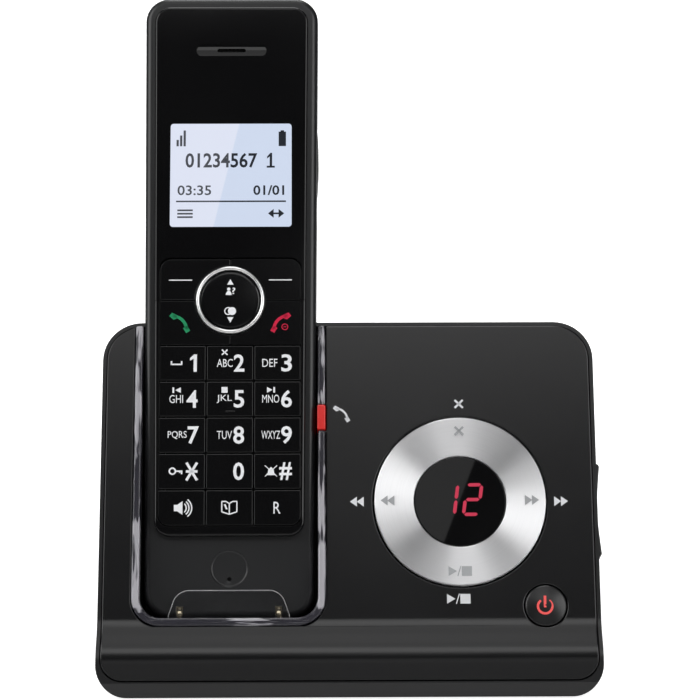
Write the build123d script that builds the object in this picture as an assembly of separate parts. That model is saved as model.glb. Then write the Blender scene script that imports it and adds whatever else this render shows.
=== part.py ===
from build123d import *
from math import cos, radians, sin, tan
import os

# A cordless telephone base with a built-in answering machine, and its handset standing in the
# cradle. Millimetres. X runs to the right, Y to the back and Z up, with the origin on the table
# below the middle of the whole object.
#
# Two slanted frames carry the detail. The panel frame has its origin in the middle of the crease
# between shoulder and front panel, x to the right, y up the panel and z out of the panel. The
# handset frame has its origin at the middle of the handset's bottom end, x to the right, y up
# the handset and z out of its front face.

# ---- base shell ----
BASE_WIDTH = 138.4
BASE_DEPTH = 100.0
PANEL_LENGTH = 86.3
PANEL_TILT = 56.0
SHOULDER_LENGTH = 9.2
SHOULDER_TILT = 34.7
APRON_TILT = 70.0
APRON_TOP = (3.3, 12.9)
LIP_HEIGHT = 5.2
FLOOR_HEIGHT = 0.8
CREASE_RADIUS = 14.0
APRON_RADIUS = 3.0
LIP_RADIUS = 1.0
CORNER_RADIUS = 11.0
FRONT_CORNER = 8.5
COVER_CORNER = 4.5
BACK_RADIUS = 5.0
RIM = 1.3
RIM_DROP = 0.9
RIM_RADIUS = 1.0
COVER_BEVEL = 0.6
CASE_WALL = 2.6
FLOOR_WALL = 2.2
COVER_WALL = 2.0
SKIRT = 4.4
SHELL_GAP = 0.25
FLOOR_BEVEL = 1.2
PLINTH_INSET = 19.0
PLINTH_MARGIN = 2.5
PLINTH_HEIGHT = 0.45
PLINTH_CORNER = 8.0

# ---- base fittings ----
SCREW_RADIUS = 1.2
SCREW_HEAD_RADIUS = 2.5
BOSS_RADIUS = 2.8
BOSS_GAP = 0.5
BOSS_FRONT = 12.0
BOSS_REAR = 45.0
FOOT_RADIUS = 5.0
FOOT_SINK = 0.8
FOOT_SIDE = 26.5
FOOT_INSET = 13.0
BOARD_TOP = -9.9
BOARD_THICKNESS = 1.6
POST_RADIUS = 2.2
SPEAKER_FROM_RIGHT = 31.0
SPEAKER_FROM_BACK = 38.0
SPEAKER_RADIUS = 18.0
SPEAKER_HEIGHT = 10.0
GRILLE_PITCH = 3.2
GRILLE_SLOT = 1.4
SOCKET_HEIGHT = 12.0
LINE_SOCKET_X = 12.0
LINE_PLUG = (9.8, 6.6)
LINE_SOCKET_SIZE = (13.4, 12.0)
POWER_SOCKET_X = 34.0
POWER_SOCKET_SIZE = (9.4, 11.0)
POWER_PLUG_RADIUS = 3.1
POWER_PIN_RADIUS = 0.9
PLUG_DEPTH = 11.0

# ---- cradle ----
CRADLE_MARGIN = 9.3
TRIM_WIDTH = 53.4
TRIM_BAR = 2.05
TRIM_BOTTOM = -0.9
TRIM_BOTTOM_BAR = 2.3
TRIM_PROUD = 0.8
TRIM_DEPTH = 4.4
TRIM_CORNER = 8.0
TAB_WIDTH = 33.5
TAB_HEIGHT = 7.4
TAB_THICKNESS = 1.3
WELL_WALL = 1.8
CONTACT_WIDTH = 2.2
CONTACT_STRIP = 0.4
LIGHT_CENTRE = 58.1
LIGHT_LENGTH = 7.2
CONTACT_SPACING = 27.4

# ---- dial and controls ----
DIAL_FROM_RIGHT = 38.3
DIAL_HEIGHT = 33.95
DIAL_RADIUS = 23.8
DIAL_BORE = 12.9
DIAL_GAP = 0.45
DISH_FLOOR = -5.8
DISH_WALL = 1.6
WINDOW_SEAT = -1.2
GIMBAL_AXIS = -3.3
GIMBAL_THICKNESS = 1.2
PIN_RADIUS = 0.8
PIN_GAP = 0.25
POWER_FROM_RIGHT = 15.2
POWER_HEIGHT = 4.5
POWER_RADIUS = 5.65
POWER_TRAVEL = 0.6
ROCKER_LENGTH = 26.6
ROCKER_WIDTH = 6.0
ROCKER_HEIGHT = 33.0
ROCKER_DEPTH = -10.0
ROCKER_PIVOT = -4.6
ROCKER_CREST = 1.5
ROCKER_WAIST = 0.5

# ---- handset ----
HANDSET_LENGTH = 180.3
HANDSET_TOP_WIDTH = 50.0
HANDSET_BOTTOM_WIDTH = 47.2
HANDSET_THICKNESS = 25.0
HANDSET_TOP_THICKNESS = 18.5
HANDSET_TILT = 60.5
HANDSET_SEAT = (2.33, -2.81)
HANDSET_CORNER = 7.0
HANDSET_WALL = 2.0
FRONT_EDGE = 2.0
BACK_EDGE = 5.0
FACE_STEP = 2.2
FACE_WALL = 1.8
FACE_CORNER = 4.5
FACE_BEVEL = 0.7
SPLIT_DEPTH = 12.5
PLATEAU_WIDTH = 42.6
CHIN = 22.3
HEAD_RIM = 4.7
DOCK_GAP = 0.3
LCD_WIDTH = 34.6
LCD_HEIGHT = 30.5
LCD_RISE = 9.2
EARPIECE_DROP = 12.2
EARPIECE_RECESS = (20.1, 3.8)
EARPIECE_SLOT = (8.2, 1.1)
MIC_HEIGHT = 10.6
DIMPLE_HEIGHT = 13.5
DIMPLE_RADIUS = 5.15
DIMPLE_DEPTH = 0.5
HANDSET_BOARD_TOP = -7.0
HANDSET_BOARD_THICKNESS = 1.2

# ---- keys ----
KEY_COLUMN_PITCH = 13.35
KEY_ROW_PITCH = 10.27
BEZEL_BAR = 2.8
CALL_KEY_HEIGHT = 12.95
SOFT_KEY_HEIGHT = 12.2
KEY_CORNER = 3.3
KEY_GAP = 0.35
SEAM_GAP = 0.2
KEY_TOP = -0.35
KEY_THICKNESS = 1.25
KEY_TRAVEL = 0.5
STEM = 2.4
NAV_STEM = 5.6
NAV_OUTER_RADIUS = 9.75
NAV_RING_WIDTH = 1.15
NAV_RING_PROUD = 0.7
NAV_POST_RADIUS = 1.2
WINDOW_LEDGE = 2.0
MAT_THICKNESS = 0.7
PAD_HEIGHT = 0.8

# ---- handset back ----
CELL_RADIUS = 5.25
CELL_LENGTH = 44.5
CELL_BOTTOM = 22.0
CELL_GAP = 0.3
CELL_END_ROOM = 0.8
TRAY_WALL = 1.4
DOOR_SIDE = 19.0
DOOR_MARGIN = 8.5
DOOR_THICKNESS = 1.5
DOOR_TRAVEL = 12.0
DOOR_GAP = 0.2
RINGER_RISE = 27.0
RINGER_RADIUS = 9.5
CLIP_DROP = 35.7
CLIP_HEIGHT = 28.0
CLIP_NOTCH = 1.1
CLIP_WALL = 1.2
CLIP_ROOM = 5.0
CLIP_REACH = 26.0
CLIP_TONGUE_WIDTH = 22.0
HANDSET_SCREW_SIDE = 15.0
HANDSET_SCREW_DROP = 20.3
HANDSET_SCREW_RADIUS = 1.15
SCREW_SEAT = -17.0

RUN_GAP = 0.3

# ---- worked out from the above ----


def along(point, tilt, length):
    """The point reached from a side-view point (y, z) by going up a slope."""
    return (point[0] + length * cos(radians(tilt)), point[1] + length * sin(radians(tilt)))


def shifted(point, depth):
    """A side-view point moved into the base, square to the panel."""
    return (point[0] + depth * sin(radians(PANEL_TILT)), point[1] - depth * cos(radians(PANEL_TILT)))


CREASE = along(APRON_TOP, SHOULDER_TILT, SHOULDER_LENGTH)
PANEL_TOP = along(CREASE, PANEL_TILT, PANEL_LENGTH)
HANDSET_FOOT = shifted(along(CREASE, PANEL_TILT, HANDSET_SEAT[0]), -HANDSET_SEAT[1])
HANDSET_HEAD = along(HANDSET_FOOT, HANDSET_TILT, HANDSET_LENGTH)
HANDSET_REAR = HANDSET_HEAD[0] + HANDSET_TOP_THICKNESS * sin(radians(HANDSET_TILT))
ORIGIN_Y = HANDSET_REAR / 2
CRADLE_X = -BASE_WIDTH / 2 + CRADLE_MARGIN + TRIM_WIDTH / 2

PANEL = Plane(
    origin=(0, CREASE[0] - ORIGIN_Y, CREASE[1]),
    x_dir=(1, 0, 0),
    z_dir=(0, -sin(radians(PANEL_TILT)), cos(radians(PANEL_TILT))),
)
HANDSET = Plane(
    origin=(CRADLE_X, HANDSET_FOOT[0] - ORIGIN_Y, HANDSET_FOOT[1]),
    x_dir=(1, 0, 0),
    z_dir=(0, -sin(radians(HANDSET_TILT)), cos(radians(HANDSET_TILT))),
)


def panel_height(point):
    """How far up the panel frame a side-view point lies."""
    y, z = point[0] - CREASE[0], point[1] - CREASE[1]
    return y * cos(radians(PANEL_TILT)) + z * sin(radians(PANEL_TILT))


LIP = (0.0, LIP_HEIGHT)
APRON_FOOT = along(APRON_TOP, APRON_TILT, -(APRON_TOP[1] - LIP_HEIGHT) / sin(radians(APRON_TILT)))
CASE_BOTTOM = panel_height((0.0, FLOOR_HEIGHT))
COVER_BOTTOM = panel_height(APRON_FOOT) + SHELL_GAP
FLOOR_TOP = FLOOR_HEIGHT + FLOOR_WALL
BASE_BACK = BASE_DEPTH - ORIGIN_Y
BASE_SIDE = BASE_WIDTH / 2
TRIM_SIDE = TRIM_WIDTH / 2
TRIM_INNER = TRIM_SIDE - TRIM_BAR
CONTACT_FRONT = -FACE_STEP - 0.4

DIAL_X = BASE_SIDE - DIAL_FROM_RIGHT
CUP_RADIUS = DIAL_RADIUS + DIAL_GAP
TUBE_RADIUS = DIAL_BORE - DIAL_GAP
GIMBAL_RADIUS = DIAL_RADIUS - 2.0
GIMBAL_BORE = DIAL_BORE + 1.5
POWER_X = BASE_SIDE - POWER_FROM_RIGHT
BOARD_LOW = DIAL_HEIGHT - 35.0
BOARD_HIGH = DIAL_HEIGHT + 30.0
SPEAKER_X = BASE_SIDE - SPEAKER_FROM_RIGHT
SPEAKER_Y = BASE_BACK - SPEAKER_FROM_BACK

KEY_FIELD_BOTTOM = CHIN + BEZEL_BAR
KEY_FIELD_TOP = KEY_FIELD_BOTTOM + 5 * KEY_ROW_PITCH
KEY_FIELD_SIDE = 1.5 * KEY_COLUMN_PITCH
SEAM_HEIGHT = KEY_FIELD_TOP + CALL_KEY_HEIGHT
SOFT_PAD_TOP = SEAM_HEIGHT + SOFT_KEY_HEIGHT
PAD_SIDE = KEY_FIELD_SIDE + KEY_GAP / 2
CALL_KEY_X = KEY_FIELD_SIDE - 5.0
CALL_KEY_Y = (KEY_FIELD_TOP + SEAM_HEIGHT) / 2
SOFT_KEY_Y = (SEAM_HEIGHT + SOFT_PAD_TOP) / 2
LCD_CENTRE = SOFT_PAD_TOP + LCD_RISE + LCD_HEIGHT / 2
PLATEAU_TOP = HANDSET_LENGTH - HEAD_RIM
EARPIECE_HEIGHT = PLATEAU_TOP - EARPIECE_DROP
FACE_BACK = -FACE_STEP - FACE_WALL
MAT_TOP = HANDSET_BOARD_TOP + MAT_THICKNESS
STEM_END = MAT_TOP + PAD_HEIGHT + KEY_TRAVEL + 0.1

CELL_TOP = CELL_BOTTOM + CELL_LENGTH
DOOR_INNER = -HANDSET_THICKNESS + DOOR_THICKNESS
CELL_DEPTH = DOOR_INNER + DOOR_GAP + CELL_RADIUS + 0.85
DOOR_BOTTOM = CELL_BOTTOM - DOOR_MARGIN
DOOR_TOP = CELL_TOP + DOOR_MARGIN
BACK_BEND = DOOR_TOP + 19.0
RINGER_HEIGHT = DOOR_TOP + RINGER_RISE
CLIP_HIGH = HANDSET_LENGTH - CLIP_DROP
CLIP_LOW = CLIP_HIGH - CLIP_HEIGHT
FAR = 220.0


# ---- helpers ----


def slab(sketch, low, high):
    """A sketch on the XY plane made solid between two heights."""
    return Pos(0, 0, low) * extrude(sketch, amount=high - low)


def span(x0, y0, x1, y1, radius=0):
    """A rectangle given by two corners, with its corners rounded if a radius is given."""
    width, height = x1 - x0, y1 - y0
    shape = RectangleRounded(width, height, radius) if radius else Rectangle(width, height)
    return Pos((x0 + x1) / 2, (y0 + y1) / 2) * shape


def block(x0, y0, z0, x1, y1, z1):
    """A box given by two opposite corners, in either order."""
    middle = Pos((x0 + x1) / 2, (y0 + y1) / 2, (z0 + z1) / 2)
    return middle * Box(abs(x1 - x0), abs(y1 - y0), abs(z1 - z0))


def rod(x, y, z0, z1, radius):
    """A cylinder standing on the XY plane between two heights."""
    return Pos(x, y, (z0 + z1) / 2) * Cylinder(radius, z1 - z0)


def rim_edges(solid, direction, lean=0.5):
    """The edges round the surface that faces a direction: those that only one of its faces has."""
    facing = [f for f in solid.faces() if f.normal_at(f.center()).dot(Vector(direction)) > lean]
    edges = [e for f in facing for e in f.edges()]
    return [e for e in edges if sum(e.is_same(other) for other in edges) == 1]


def top_edges(solid):
    return solid.faces().sort_by(Axis.Z)[-1].edges()


def on_panel(shape):
    return PANEL.location * shape


def on_handset(shape):
    return HANDSET.location * shape


def on_dial(shape):
    """Puts a shape at the middle of the dial, on the panel."""
    return on_panel(Pos(DIAL_X, DIAL_HEIGHT) * shape)


def write(shape, name):
    export_step(shape, f"parts/{name}.step")


# ---- base shell ----

COVER_POINTS = [
    along(APRON_FOOT, APRON_TILT, -12),
    APRON_TOP,
    CREASE,
    along(PANEL_TOP, PANEL_TILT, 20),
]
COVER_RADII = [APRON_RADIUS, CREASE_RADIUS]
CASE_POINTS = [
    (0.0, -6.0),
    LIP,
    shifted(APRON_TOP, RIM_DROP),
    shifted(CREASE, RIM_DROP),
    shifted(COVER_POINTS[-1], RIM_DROP),
]
CASE_RADII = [LIP_RADIUS, APRON_RADIUS, CREASE_RADIUS]


def front_block(points, radii, near, far):
    """The space between the front surface moved in by one depth and by another, over any width."""
    front = FilletPolyline(*[shifted(p, near) for p in points], radius=radii)
    back = FilletPolyline(*[shifted(p, far) for p in points], radius=radii)
    face = make_face(front + Line(front @ 1, back @ 1) + back + Line(back @ 0, front @ 0))
    return Pos(0, -ORIGIN_Y, 0) * extrude(Plane.YZ * face, amount=BASE_WIDTH, both=True)


def shell_prism(bottom, rim, low_corner):
    """The base's rounded outline, moved in by a rim, as a prism square to the panel."""
    side, top, middle = BASE_SIDE - rim, PANEL_LENGTH - rim, PANEL_LENGTH / 2
    upper = span(-side, middle - 20, side, top, CORNER_RADIUS - rim)
    lower = span(-side, bottom, side, middle + 20, low_corner)
    return on_panel(slab(upper + lower + span(-side, middle - 20, side, middle + 20), -FAR, FAR))


def base_room(inset):
    """The space above the floor and in front of the back wall, less a wall."""
    low = FLOOR_HEIGHT + inset * FLOOR_WALL / CASE_WALL
    return block(-BASE_WIDTH, -ORIGIN_Y - 5, low, BASE_WIDTH, BASE_BACK - inset, FAR)


def cradle_outline(side, bottom, corner):
    """A U open at the panel's top edge, as a closed shape that runs past it."""
    return Pos(CRADLE_X, 0) * span(-side, bottom, side, PANEL_LENGTH + 30, corner)


def dial_cup():
    """The cup that the cover forms round the dial, with a tube up the middle for the window."""
    cup = rod(0, 0, DISH_FLOOR - DISH_WALL, 0, CUP_RADIUS + DISH_WALL)
    cup -= rod(0, 0, DISH_FLOOR, 5, CUP_RADIUS)
    cup -= Pos(0, 0, GIMBAL_AXIS) * Rot(0, 90, 0) * Cylinder(PIN_RADIUS + PIN_GAP, 2 * CUP_RADIUS + 6)
    cup += rod(0, 0, DISH_FLOOR - DISH_WALL, WINDOW_SEAT, TUBE_RADIUS)
    return cup - rod(0, 0, -20, 5, TUBE_RADIUS - DISH_WALL)


def post_places():
    """Where the circuit board's four posts stand on the panel, round the dial."""
    high, low = DIAL_HEIGHT + 26, DIAL_HEIGHT - 28
    return [(DIAL_X - 20.7, high), (DIAL_X + 21.3, high), (DIAL_X - 20.7, low), (DIAL_X + 11.3, low - 4)]


def boss_places():
    """Where the four case screws stand, in plan."""
    side = BASE_SIDE - CASE_WALL - BOSS_GAP - BOSS_RADIUS
    beside_well = CRADLE_X + TRIM_SIDE + BOSS_RADIUS + 1.5
    front, rear = BOSS_FRONT - ORIGIN_Y, BOSS_REAR - ORIGIN_Y
    return [(-side, front), (side, front), (-side, rear), (beside_well, rear)]


def light_notch(x0, x1):
    """The gap that the in-use light stands in, from the cradle outwards."""
    half = LIGHT_LENGTH / 2 + 0.1
    return slab(span(x0, LIGHT_CENTRE - half, x1, LIGHT_CENTRE + half), -FAR, FAR)


def base_top_cover():
    """The dark front moulding: shoulder, panel and apron, with a short skirt all round."""
    outer = front_block(COVER_POINTS, COVER_RADII, 0, SKIRT) & shell_prism(COVER_BOTTOM, RIM, COVER_CORNER)
    outer = chamfer(rim_edges(outer, PANEL.z_dir, 0.4), COVER_BEVEL)
    inner = front_block(COVER_POINTS, COVER_RADII, COVER_WALL, SKIRT + 2)
    inner &= shell_prism(COVER_BOTTOM + COVER_WALL, RIM + COVER_WALL, COVER_CORNER - COVER_WALL)
    cover = outer - inner
    behind = front_block(COVER_POINTS, COVER_RADII, COVER_WALL / 2, FAR)
    for x, y in boss_places():
        boss = rod(x, y, FLOOR_TOP, FAR / 2, BOSS_RADIUS) & behind
        cover += boss - rod(x, y, FLOOR_TOP - 1, FLOOR_TOP + 10, SCREW_RADIUS + 0.1)
    for x, y in post_places():
        cover += on_panel(rod(x, y, BOARD_TOP, -COVER_WALL / 2, POST_RADIUS))
    well = cradle_outline(TRIM_SIDE + 0.15, TRIM_BOTTOM - 0.15, TRIM_CORNER)
    cover -= on_panel(slab(well, -12, 12))
    cover -= on_dial(rod(0, 0, -12, 6, CUP_RADIUS))
    cover += on_dial(dial_cup())
    socket = rod(0, 0, -4.2, -COVER_WALL / 2, POWER_RADIUS + 1.2)
    bore = rod(0, 0, -8, 8, POWER_RADIUS + RUN_GAP)
    bore += Pos(0, 0, 0.2) * Cone(POWER_RADIUS + 0.2, POWER_RADIUS + 1.4, 1.6)
    cover += on_panel(Pos(POWER_X, POWER_HEIGHT) * socket)
    cover -= on_panel(Pos(POWER_X, POWER_HEIGHT) * bore)
    return cover - on_panel(light_notch(CRADLE_X + TRIM_INNER, CRADLE_X + TRIM_SIDE + 0.7))


def rocker_place(shape):
    """Puts a shape at the volume rocker's pivot, x out of the side wall and y up the panel."""
    return on_panel(Pos(BASE_SIDE, ROCKER_HEIGHT, ROCKER_DEPTH) * shape)


def case_floor_edge():
    """A plug whose lower edge is bevelled, which gives the case its softened floor edge."""
    low, high = FLOOR_HEIGHT, FLOOR_HEIGHT + FLOOR_BEVEL
    plan = span(-BASE_SIDE, -ORIGIN_Y, BASE_SIDE, BASE_BACK, BACK_RADIUS)
    foot = Pos(0, 0, high) * extrude(plan, amount=-FLOOR_BEVEL, taper=40)
    return foot + slab(span(-BASE_SIDE, -ORIGIN_Y, BASE_SIDE, BASE_BACK), high, FAR)


def case_floor():
    """The low plinth under the case, which carries the feet."""
    side, low, high = BASE_SIDE - PLINTH_INSET, FLOOR_HEIGHT - PLINTH_HEIGHT, FLOOR_TOP - 0.5
    front, back = PLINTH_MARGIN - ORIGIN_Y, BASE_BACK - PLINTH_MARGIN
    return slab(span(-side, front, side, back, PLINTH_CORNER), low, high)


def speaker_grille():
    """The slots below the loudspeaker, cut to a round field."""
    slots = []
    field = SPEAKER_RADIUS - 4
    for i in range(-4, 5):
        offset_x = GRILLE_PITCH * i
        half = (field ** 2 - offset_x ** 2) ** 0.5
        x0, x1 = SPEAKER_X + offset_x - GRILLE_SLOT / 2, SPEAKER_X + offset_x + GRILLE_SLOT / 2
        slots.append(block(x0, SPEAKER_Y - half, -1, x1, SPEAKER_Y + half, FLOOR_TOP + 1))
    return slots


def socket_hole(x, size):
    """The opening in the back wall for a socket."""
    half_x, half_z = size[0] / 2 + 0.2, size[1] / 2 + 0.2
    low, high = SOCKET_HEIGHT - half_z, SOCKET_HEIGHT + half_z
    return block(x - half_x, BASE_BACK - 5, low, x + half_x, BASE_BACK + 5, high)


def base_bottom_case():
    """The glossy black tray: lip, side walls, roof, back and floor in one moulding."""
    outer = front_block(CASE_POINTS, CASE_RADII, 0, FAR) & shell_prism(CASE_BOTTOM, 0, FRONT_CORNER)
    outer &= base_room(0)
    outer = fillet(rim_edges(outer, (0, 1, 0), 0.9), BACK_RADIUS)
    outer = fillet(rim_edges(outer, PANEL.z_dir, 0.4), RIM_RADIUS)
    outer &= case_floor_edge()
    pocket = front_block(COVER_POINTS, COVER_RADII, -30, SKIRT)
    pocket &= shell_prism(COVER_BOTTOM - SHELL_GAP, RIM - SHELL_GAP, COVER_CORNER + SHELL_GAP)
    cavity = front_block(COVER_POINTS, COVER_RADII, SKIRT - 1, FAR)
    cavity &= shell_prism(CASE_BOTTOM + CASE_WALL, CASE_WALL, FRONT_CORNER - CASE_WALL)
    cavity &= base_room(CASE_WALL)
    case = outer - pocket - cavity + case_floor()
    side = TRIM_SIDE + 0.2
    deep = -(HANDSET_THICKNESS + DOCK_GAP + WELL_WALL + 0.2)
    case -= on_handset(block(-side, 30, deep, side, FAR, 40))
    for x, y in boss_places():
        case -= rod(x, y, -1, FLOOR_TOP + 1, SCREW_RADIUS + 0.3)
        case -= rod(x, y, -1, FLOOR_HEIGHT + 1.2, SCREW_HEAD_RADIUS + 0.4)
    for x, y in foot_places():
        case -= rod(x, y, -1, FLOOR_HEIGHT + FOOT_SINK, FOOT_RADIUS + 0.1)
    for slot in speaker_grille():
        case -= slot
    case -= socket_hole(LINE_SOCKET_X, LINE_SOCKET_SIZE)
    case -= socket_hole(POWER_SOCKET_X, POWER_SOCKET_SIZE)
    reach, wide = ROCKER_LENGTH / 2 + RUN_GAP, ROCKER_WIDTH / 2 + RUN_GAP
    case -= rocker_place(block(-CASE_WALL - 1, -reach, -wide, 5, reach, wide))
    for side in (-1, 1):
        ear = block(ROCKER_PIVOT - 2.2, -3, side * (wide + 0.1), 0.5 - CASE_WALL, 3, side * (wide + 1.8))
        ear -= Pos(ROCKER_PIVOT, 0, side * (wide + 1)) * Cylinder(PIN_RADIUS + PIN_GAP, 8)
        case += rocker_place(ear)
    return case


# ---- small parts of the base ----


def foot_places():
    """Where the four rubber feet stand, in plan."""
    side = BASE_SIDE - FOOT_SIDE
    front, back = FOOT_INSET - ORIGIN_Y, BASE_BACK - FOOT_INSET
    return [(-side, front), (-side, back), (side, front), (side, back)]


def rubber_feet():
    return Compound(children=[rod(x, y, 0, FLOOR_HEIGHT + FOOT_SINK, FOOT_RADIUS) for x, y in foot_places()])


def base_screws():
    screws = []
    for x, y in boss_places():
        head = rod(x, y, FLOOR_HEIGHT + 0.1, FLOOR_HEIGHT + 1.1, SCREW_HEAD_RADIUS)
        screws.append(head + rod(x, y, FLOOR_HEIGHT + 1.1, FLOOR_TOP + 8, SCREW_RADIUS))
    return Compound(children=screws)


def contact_sides():
    return (-CONTACT_SPACING / 2, CONTACT_SPACING / 2)


def cradle_well():
    """The black cup behind the trim: back, two sides and a floor, parallel to the handset."""
    side, corner = TRIM_SIDE - 0.2, TRIM_CORNER - 0.5
    floor = -DOCK_GAP - WELL_WALL
    back = -(HANDSET_THICKNESS + DOCK_GAP)
    outer = slab(span(-side, floor, side, HANDSET_LENGTH, corner), back - WELL_WALL, 40)
    inner = slab(span(-TRIM_INNER, -DOCK_GAP, TRIM_INNER, HANDSET_LENGTH + 9, corner - 1.5), back, 50)
    well = on_handset(outer - inner)
    well &= on_panel(block(-FAR, -FAR, -FAR, FAR, PANEL_LENGTH - 0.4, -TRIM_DEPTH))
    half = CONTACT_WIDTH / 2 + 0.4
    for x in contact_sides():
        well -= on_handset(block(x - half, floor - 1, CONTACT_FRONT - 0.9, x + half, 1, CONTACT_FRONT + 0.3))
    return well


def base_charge_contacts():
    """Two sprung strips that rise through the well's floor and curl towards the handset."""
    strips = []
    for x in contact_sides():
        path = Polyline((-4.5, CONTACT_FRONT - 0.2), (0.6, CONTACT_FRONT - 0.2),
                        (1.8, CONTACT_FRONT - 0.5), (2.8, CONTACT_FRONT - 0.1))
        strip = extrude(Plane.YZ * trace(path, CONTACT_STRIP), amount=CONTACT_WIDTH / 2, both=True)
        strips.append(on_handset(Pos(x, 0, 0) * strip))
    return Compound(children=strips)


def cradle_trim():
    """The clear U that lines the cradle, with the tab that stands in front of the handset's chin."""
    outer = slab(cradle_outline(TRIM_SIDE, TRIM_BOTTOM, TRIM_CORNER), -TRIM_DEPTH, TRIM_PROUD)
    inner_bottom = TRIM_BOTTOM + TRIM_BOTTOM_BAR
    trim = outer - slab(cradle_outline(TRIM_INNER, inner_bottom, TRIM_CORNER - TRIM_BAR), -FAR, FAR)
    trim &= block(-FAR, -FAR, -FAR, FAR, PANEL_LENGTH - RIM, FAR)
    trim = fillet(top_edges(trim), 0.7)
    trim -= light_notch(CRADLE_X, CRADLE_X + TRIM_WIDTH)
    half = TAB_WIDTH / 2
    tab = Polygon((-half, -1.2), (half, -1.2), (half, 0.5), (half - 2.4, TAB_HEIGHT),
                  (2.4 - half, TAB_HEIGHT), (-half, 0.5), align=None)
    tab = fillet(tab.vertices().group_by(Axis.Y)[-1], 3.6)
    back = -FACE_STEP + DOCK_GAP
    tab = on_handset(slab(tab, back, back + TAB_THICKNESS))
    tab &= on_panel(slab(Rectangle(FAR, FAR), -TRIM_DEPTH, FAR))
    return on_panel(trim) + tab


def in_use_light():
    x0, x1 = CRADLE_X + TRIM_INNER - 0.2, CRADLE_X + TRIM_SIDE + 0.6
    y0, y1 = LIGHT_CENTRE - LIGHT_LENGTH / 2, LIGHT_CENTRE + LIGHT_LENGTH / 2
    light = slab(span(x0, y0, x1, y1), -TRIM_DEPTH, TRIM_PROUD + 0.3)
    return on_panel(fillet(top_edges(light), 0.5))


# ---- dial and controls ----


def dial_ring():
    """The silver ring, a shallow cone with rolled edges, and the lugs that hang it on the gimbal."""
    low, inner, outer = -1.6, 0.3, 0.9
    profile = Polygon((DIAL_BORE, low), (DIAL_RADIUS, low), (DIAL_RADIUS, outer), (DIAL_BORE, inner), align=None)
    profile = chamfer(profile.vertices().filter_by(lambda v: v.Y > 0), 0.4)
    ring = revolve(Plane.XZ * profile, Axis.Z)
    near, far = DIAL_RADIUS - 1.5, DIAL_RADIUS - 0.2
    for side in (-1, 1):
        lug = block(-2.2, side * near, GIMBAL_AXIS - 1.0, 2.2, side * far, -1.0)
        lug -= Pos(0, side * near, GIMBAL_AXIS) * Rot(90, 0, 0) * Cylinder(PIN_RADIUS + PIN_GAP, 6)
        ring += lug
    return on_dial(ring)


def dial_gimbal():
    """The ring under the dial. Its side pins turn in the cup, and its other two carry the dial."""
    plate = Cylinder(GIMBAL_RADIUS, GIMBAL_THICKNESS) - Cylinder(GIMBAL_BORE, 3)
    pins = Rot(0, 90, 0) * Cylinder(PIN_RADIUS, 2 * (CUP_RADIUS + 1.0))
    pins += Rot(90, 0, 0) * Cylinder(PIN_RADIUS, 2 * (DIAL_RADIUS - 0.3))
    plate += pins - Cylinder((GIMBAL_RADIUS + GIMBAL_BORE) / 2, 6)
    return on_dial(Pos(0, 0, GIMBAL_AXIS) * plate)


def dial_window():
    lens = rod(0, 0, WINDOW_SEAT, 0.2, DIAL_BORE - 0.6)
    return on_dial(chamfer(top_edges(lens), 0.3))


def message_display():
    body = block(-7.9, -6.4, BOARD_TOP, 10.9, 6.4, WINDOW_SEAT - 0.4)
    return on_dial(body & Cylinder(TUBE_RADIUS - DISH_WALL - 0.25, 40))


def dial_dome_mat():
    """The rubber ring on the cup's floor, with a snap dome under each quarter of the dial."""
    low, high = DISH_FLOOR, DISH_FLOOR + 0.6
    outer, inner = DIAL_RADIUS - 2.8, DIAL_BORE + 1.3
    mat = rod(0, 0, low, high, outer) - rod(0, 0, low - 1, high + 1, inner)
    middle = (outer + inner) / 2
    for angle in range(45, 360, 90):
        x, y = middle * cos(radians(angle)), middle * sin(radians(angle))
        mat += Pos(x, y, high + 0.2) * Cone(2.0, 1.3, 0.5)
    return on_dial(mat)


def power_button():
    cap = rod(0, 0, -3.0, 1.0, POWER_RADIUS)
    cap &= Pos(0, 0, 1.0 - 16) * Sphere(16)
    cap += rod(0, 0, -4.9, -3.0, 3.0)
    cap += rod(0, 0, -7.8, -3.0, 1.8)
    return on_panel(Pos(POWER_X, POWER_HEIGHT) * cap)


def volume_rocker():
    """A saddle-shaped rocker with a raised end each for louder and quieter."""
    half, crest, foot = ROCKER_LENGTH / 2, ROCKER_CREST, -CASE_WALL - 3.2
    sides = Polyline((-half + 0.8, crest), (-half, crest - 0.7), (-half, foot), (half, foot),
                     (half, crest - 0.7), (half - 0.8, crest))
    saddle = ThreePointArc((half - 0.8, crest), (0, ROCKER_WAIST), (0.8 - half, crest))
    rocker = extrude(make_face(sides + saddle), amount=ROCKER_WIDTH / 2, both=True)
    rocker = Rot(0, 0, -90) * rocker
    rocker += Pos(ROCKER_PIVOT, 0, 0) * Cylinder(PIN_RADIUS, ROCKER_WIDTH + 4.0)
    return rocker_place(rocker)


# ---- inside and behind the base ----


def base_circuit_board():
    """The board behind the panel, with the power button's switch and one chip."""
    back = BOARD_TOP - BOARD_THICKNESS
    board = slab(span(DIAL_X - 25, BOARD_LOW, POWER_X + 3.6, BOARD_HIGH, 2), back, BOARD_TOP)
    switch = block(-3, -3, BOARD_TOP, 3, 3, -7.8 - POWER_TRAVEL - 0.2)
    board += Pos(POWER_X, POWER_HEIGHT) * switch
    board += Pos(DIAL_X - 13, DIAL_HEIGHT + 20) * block(-7, -6, back - 1.4, 7, 6, back)
    return on_panel(board)


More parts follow.
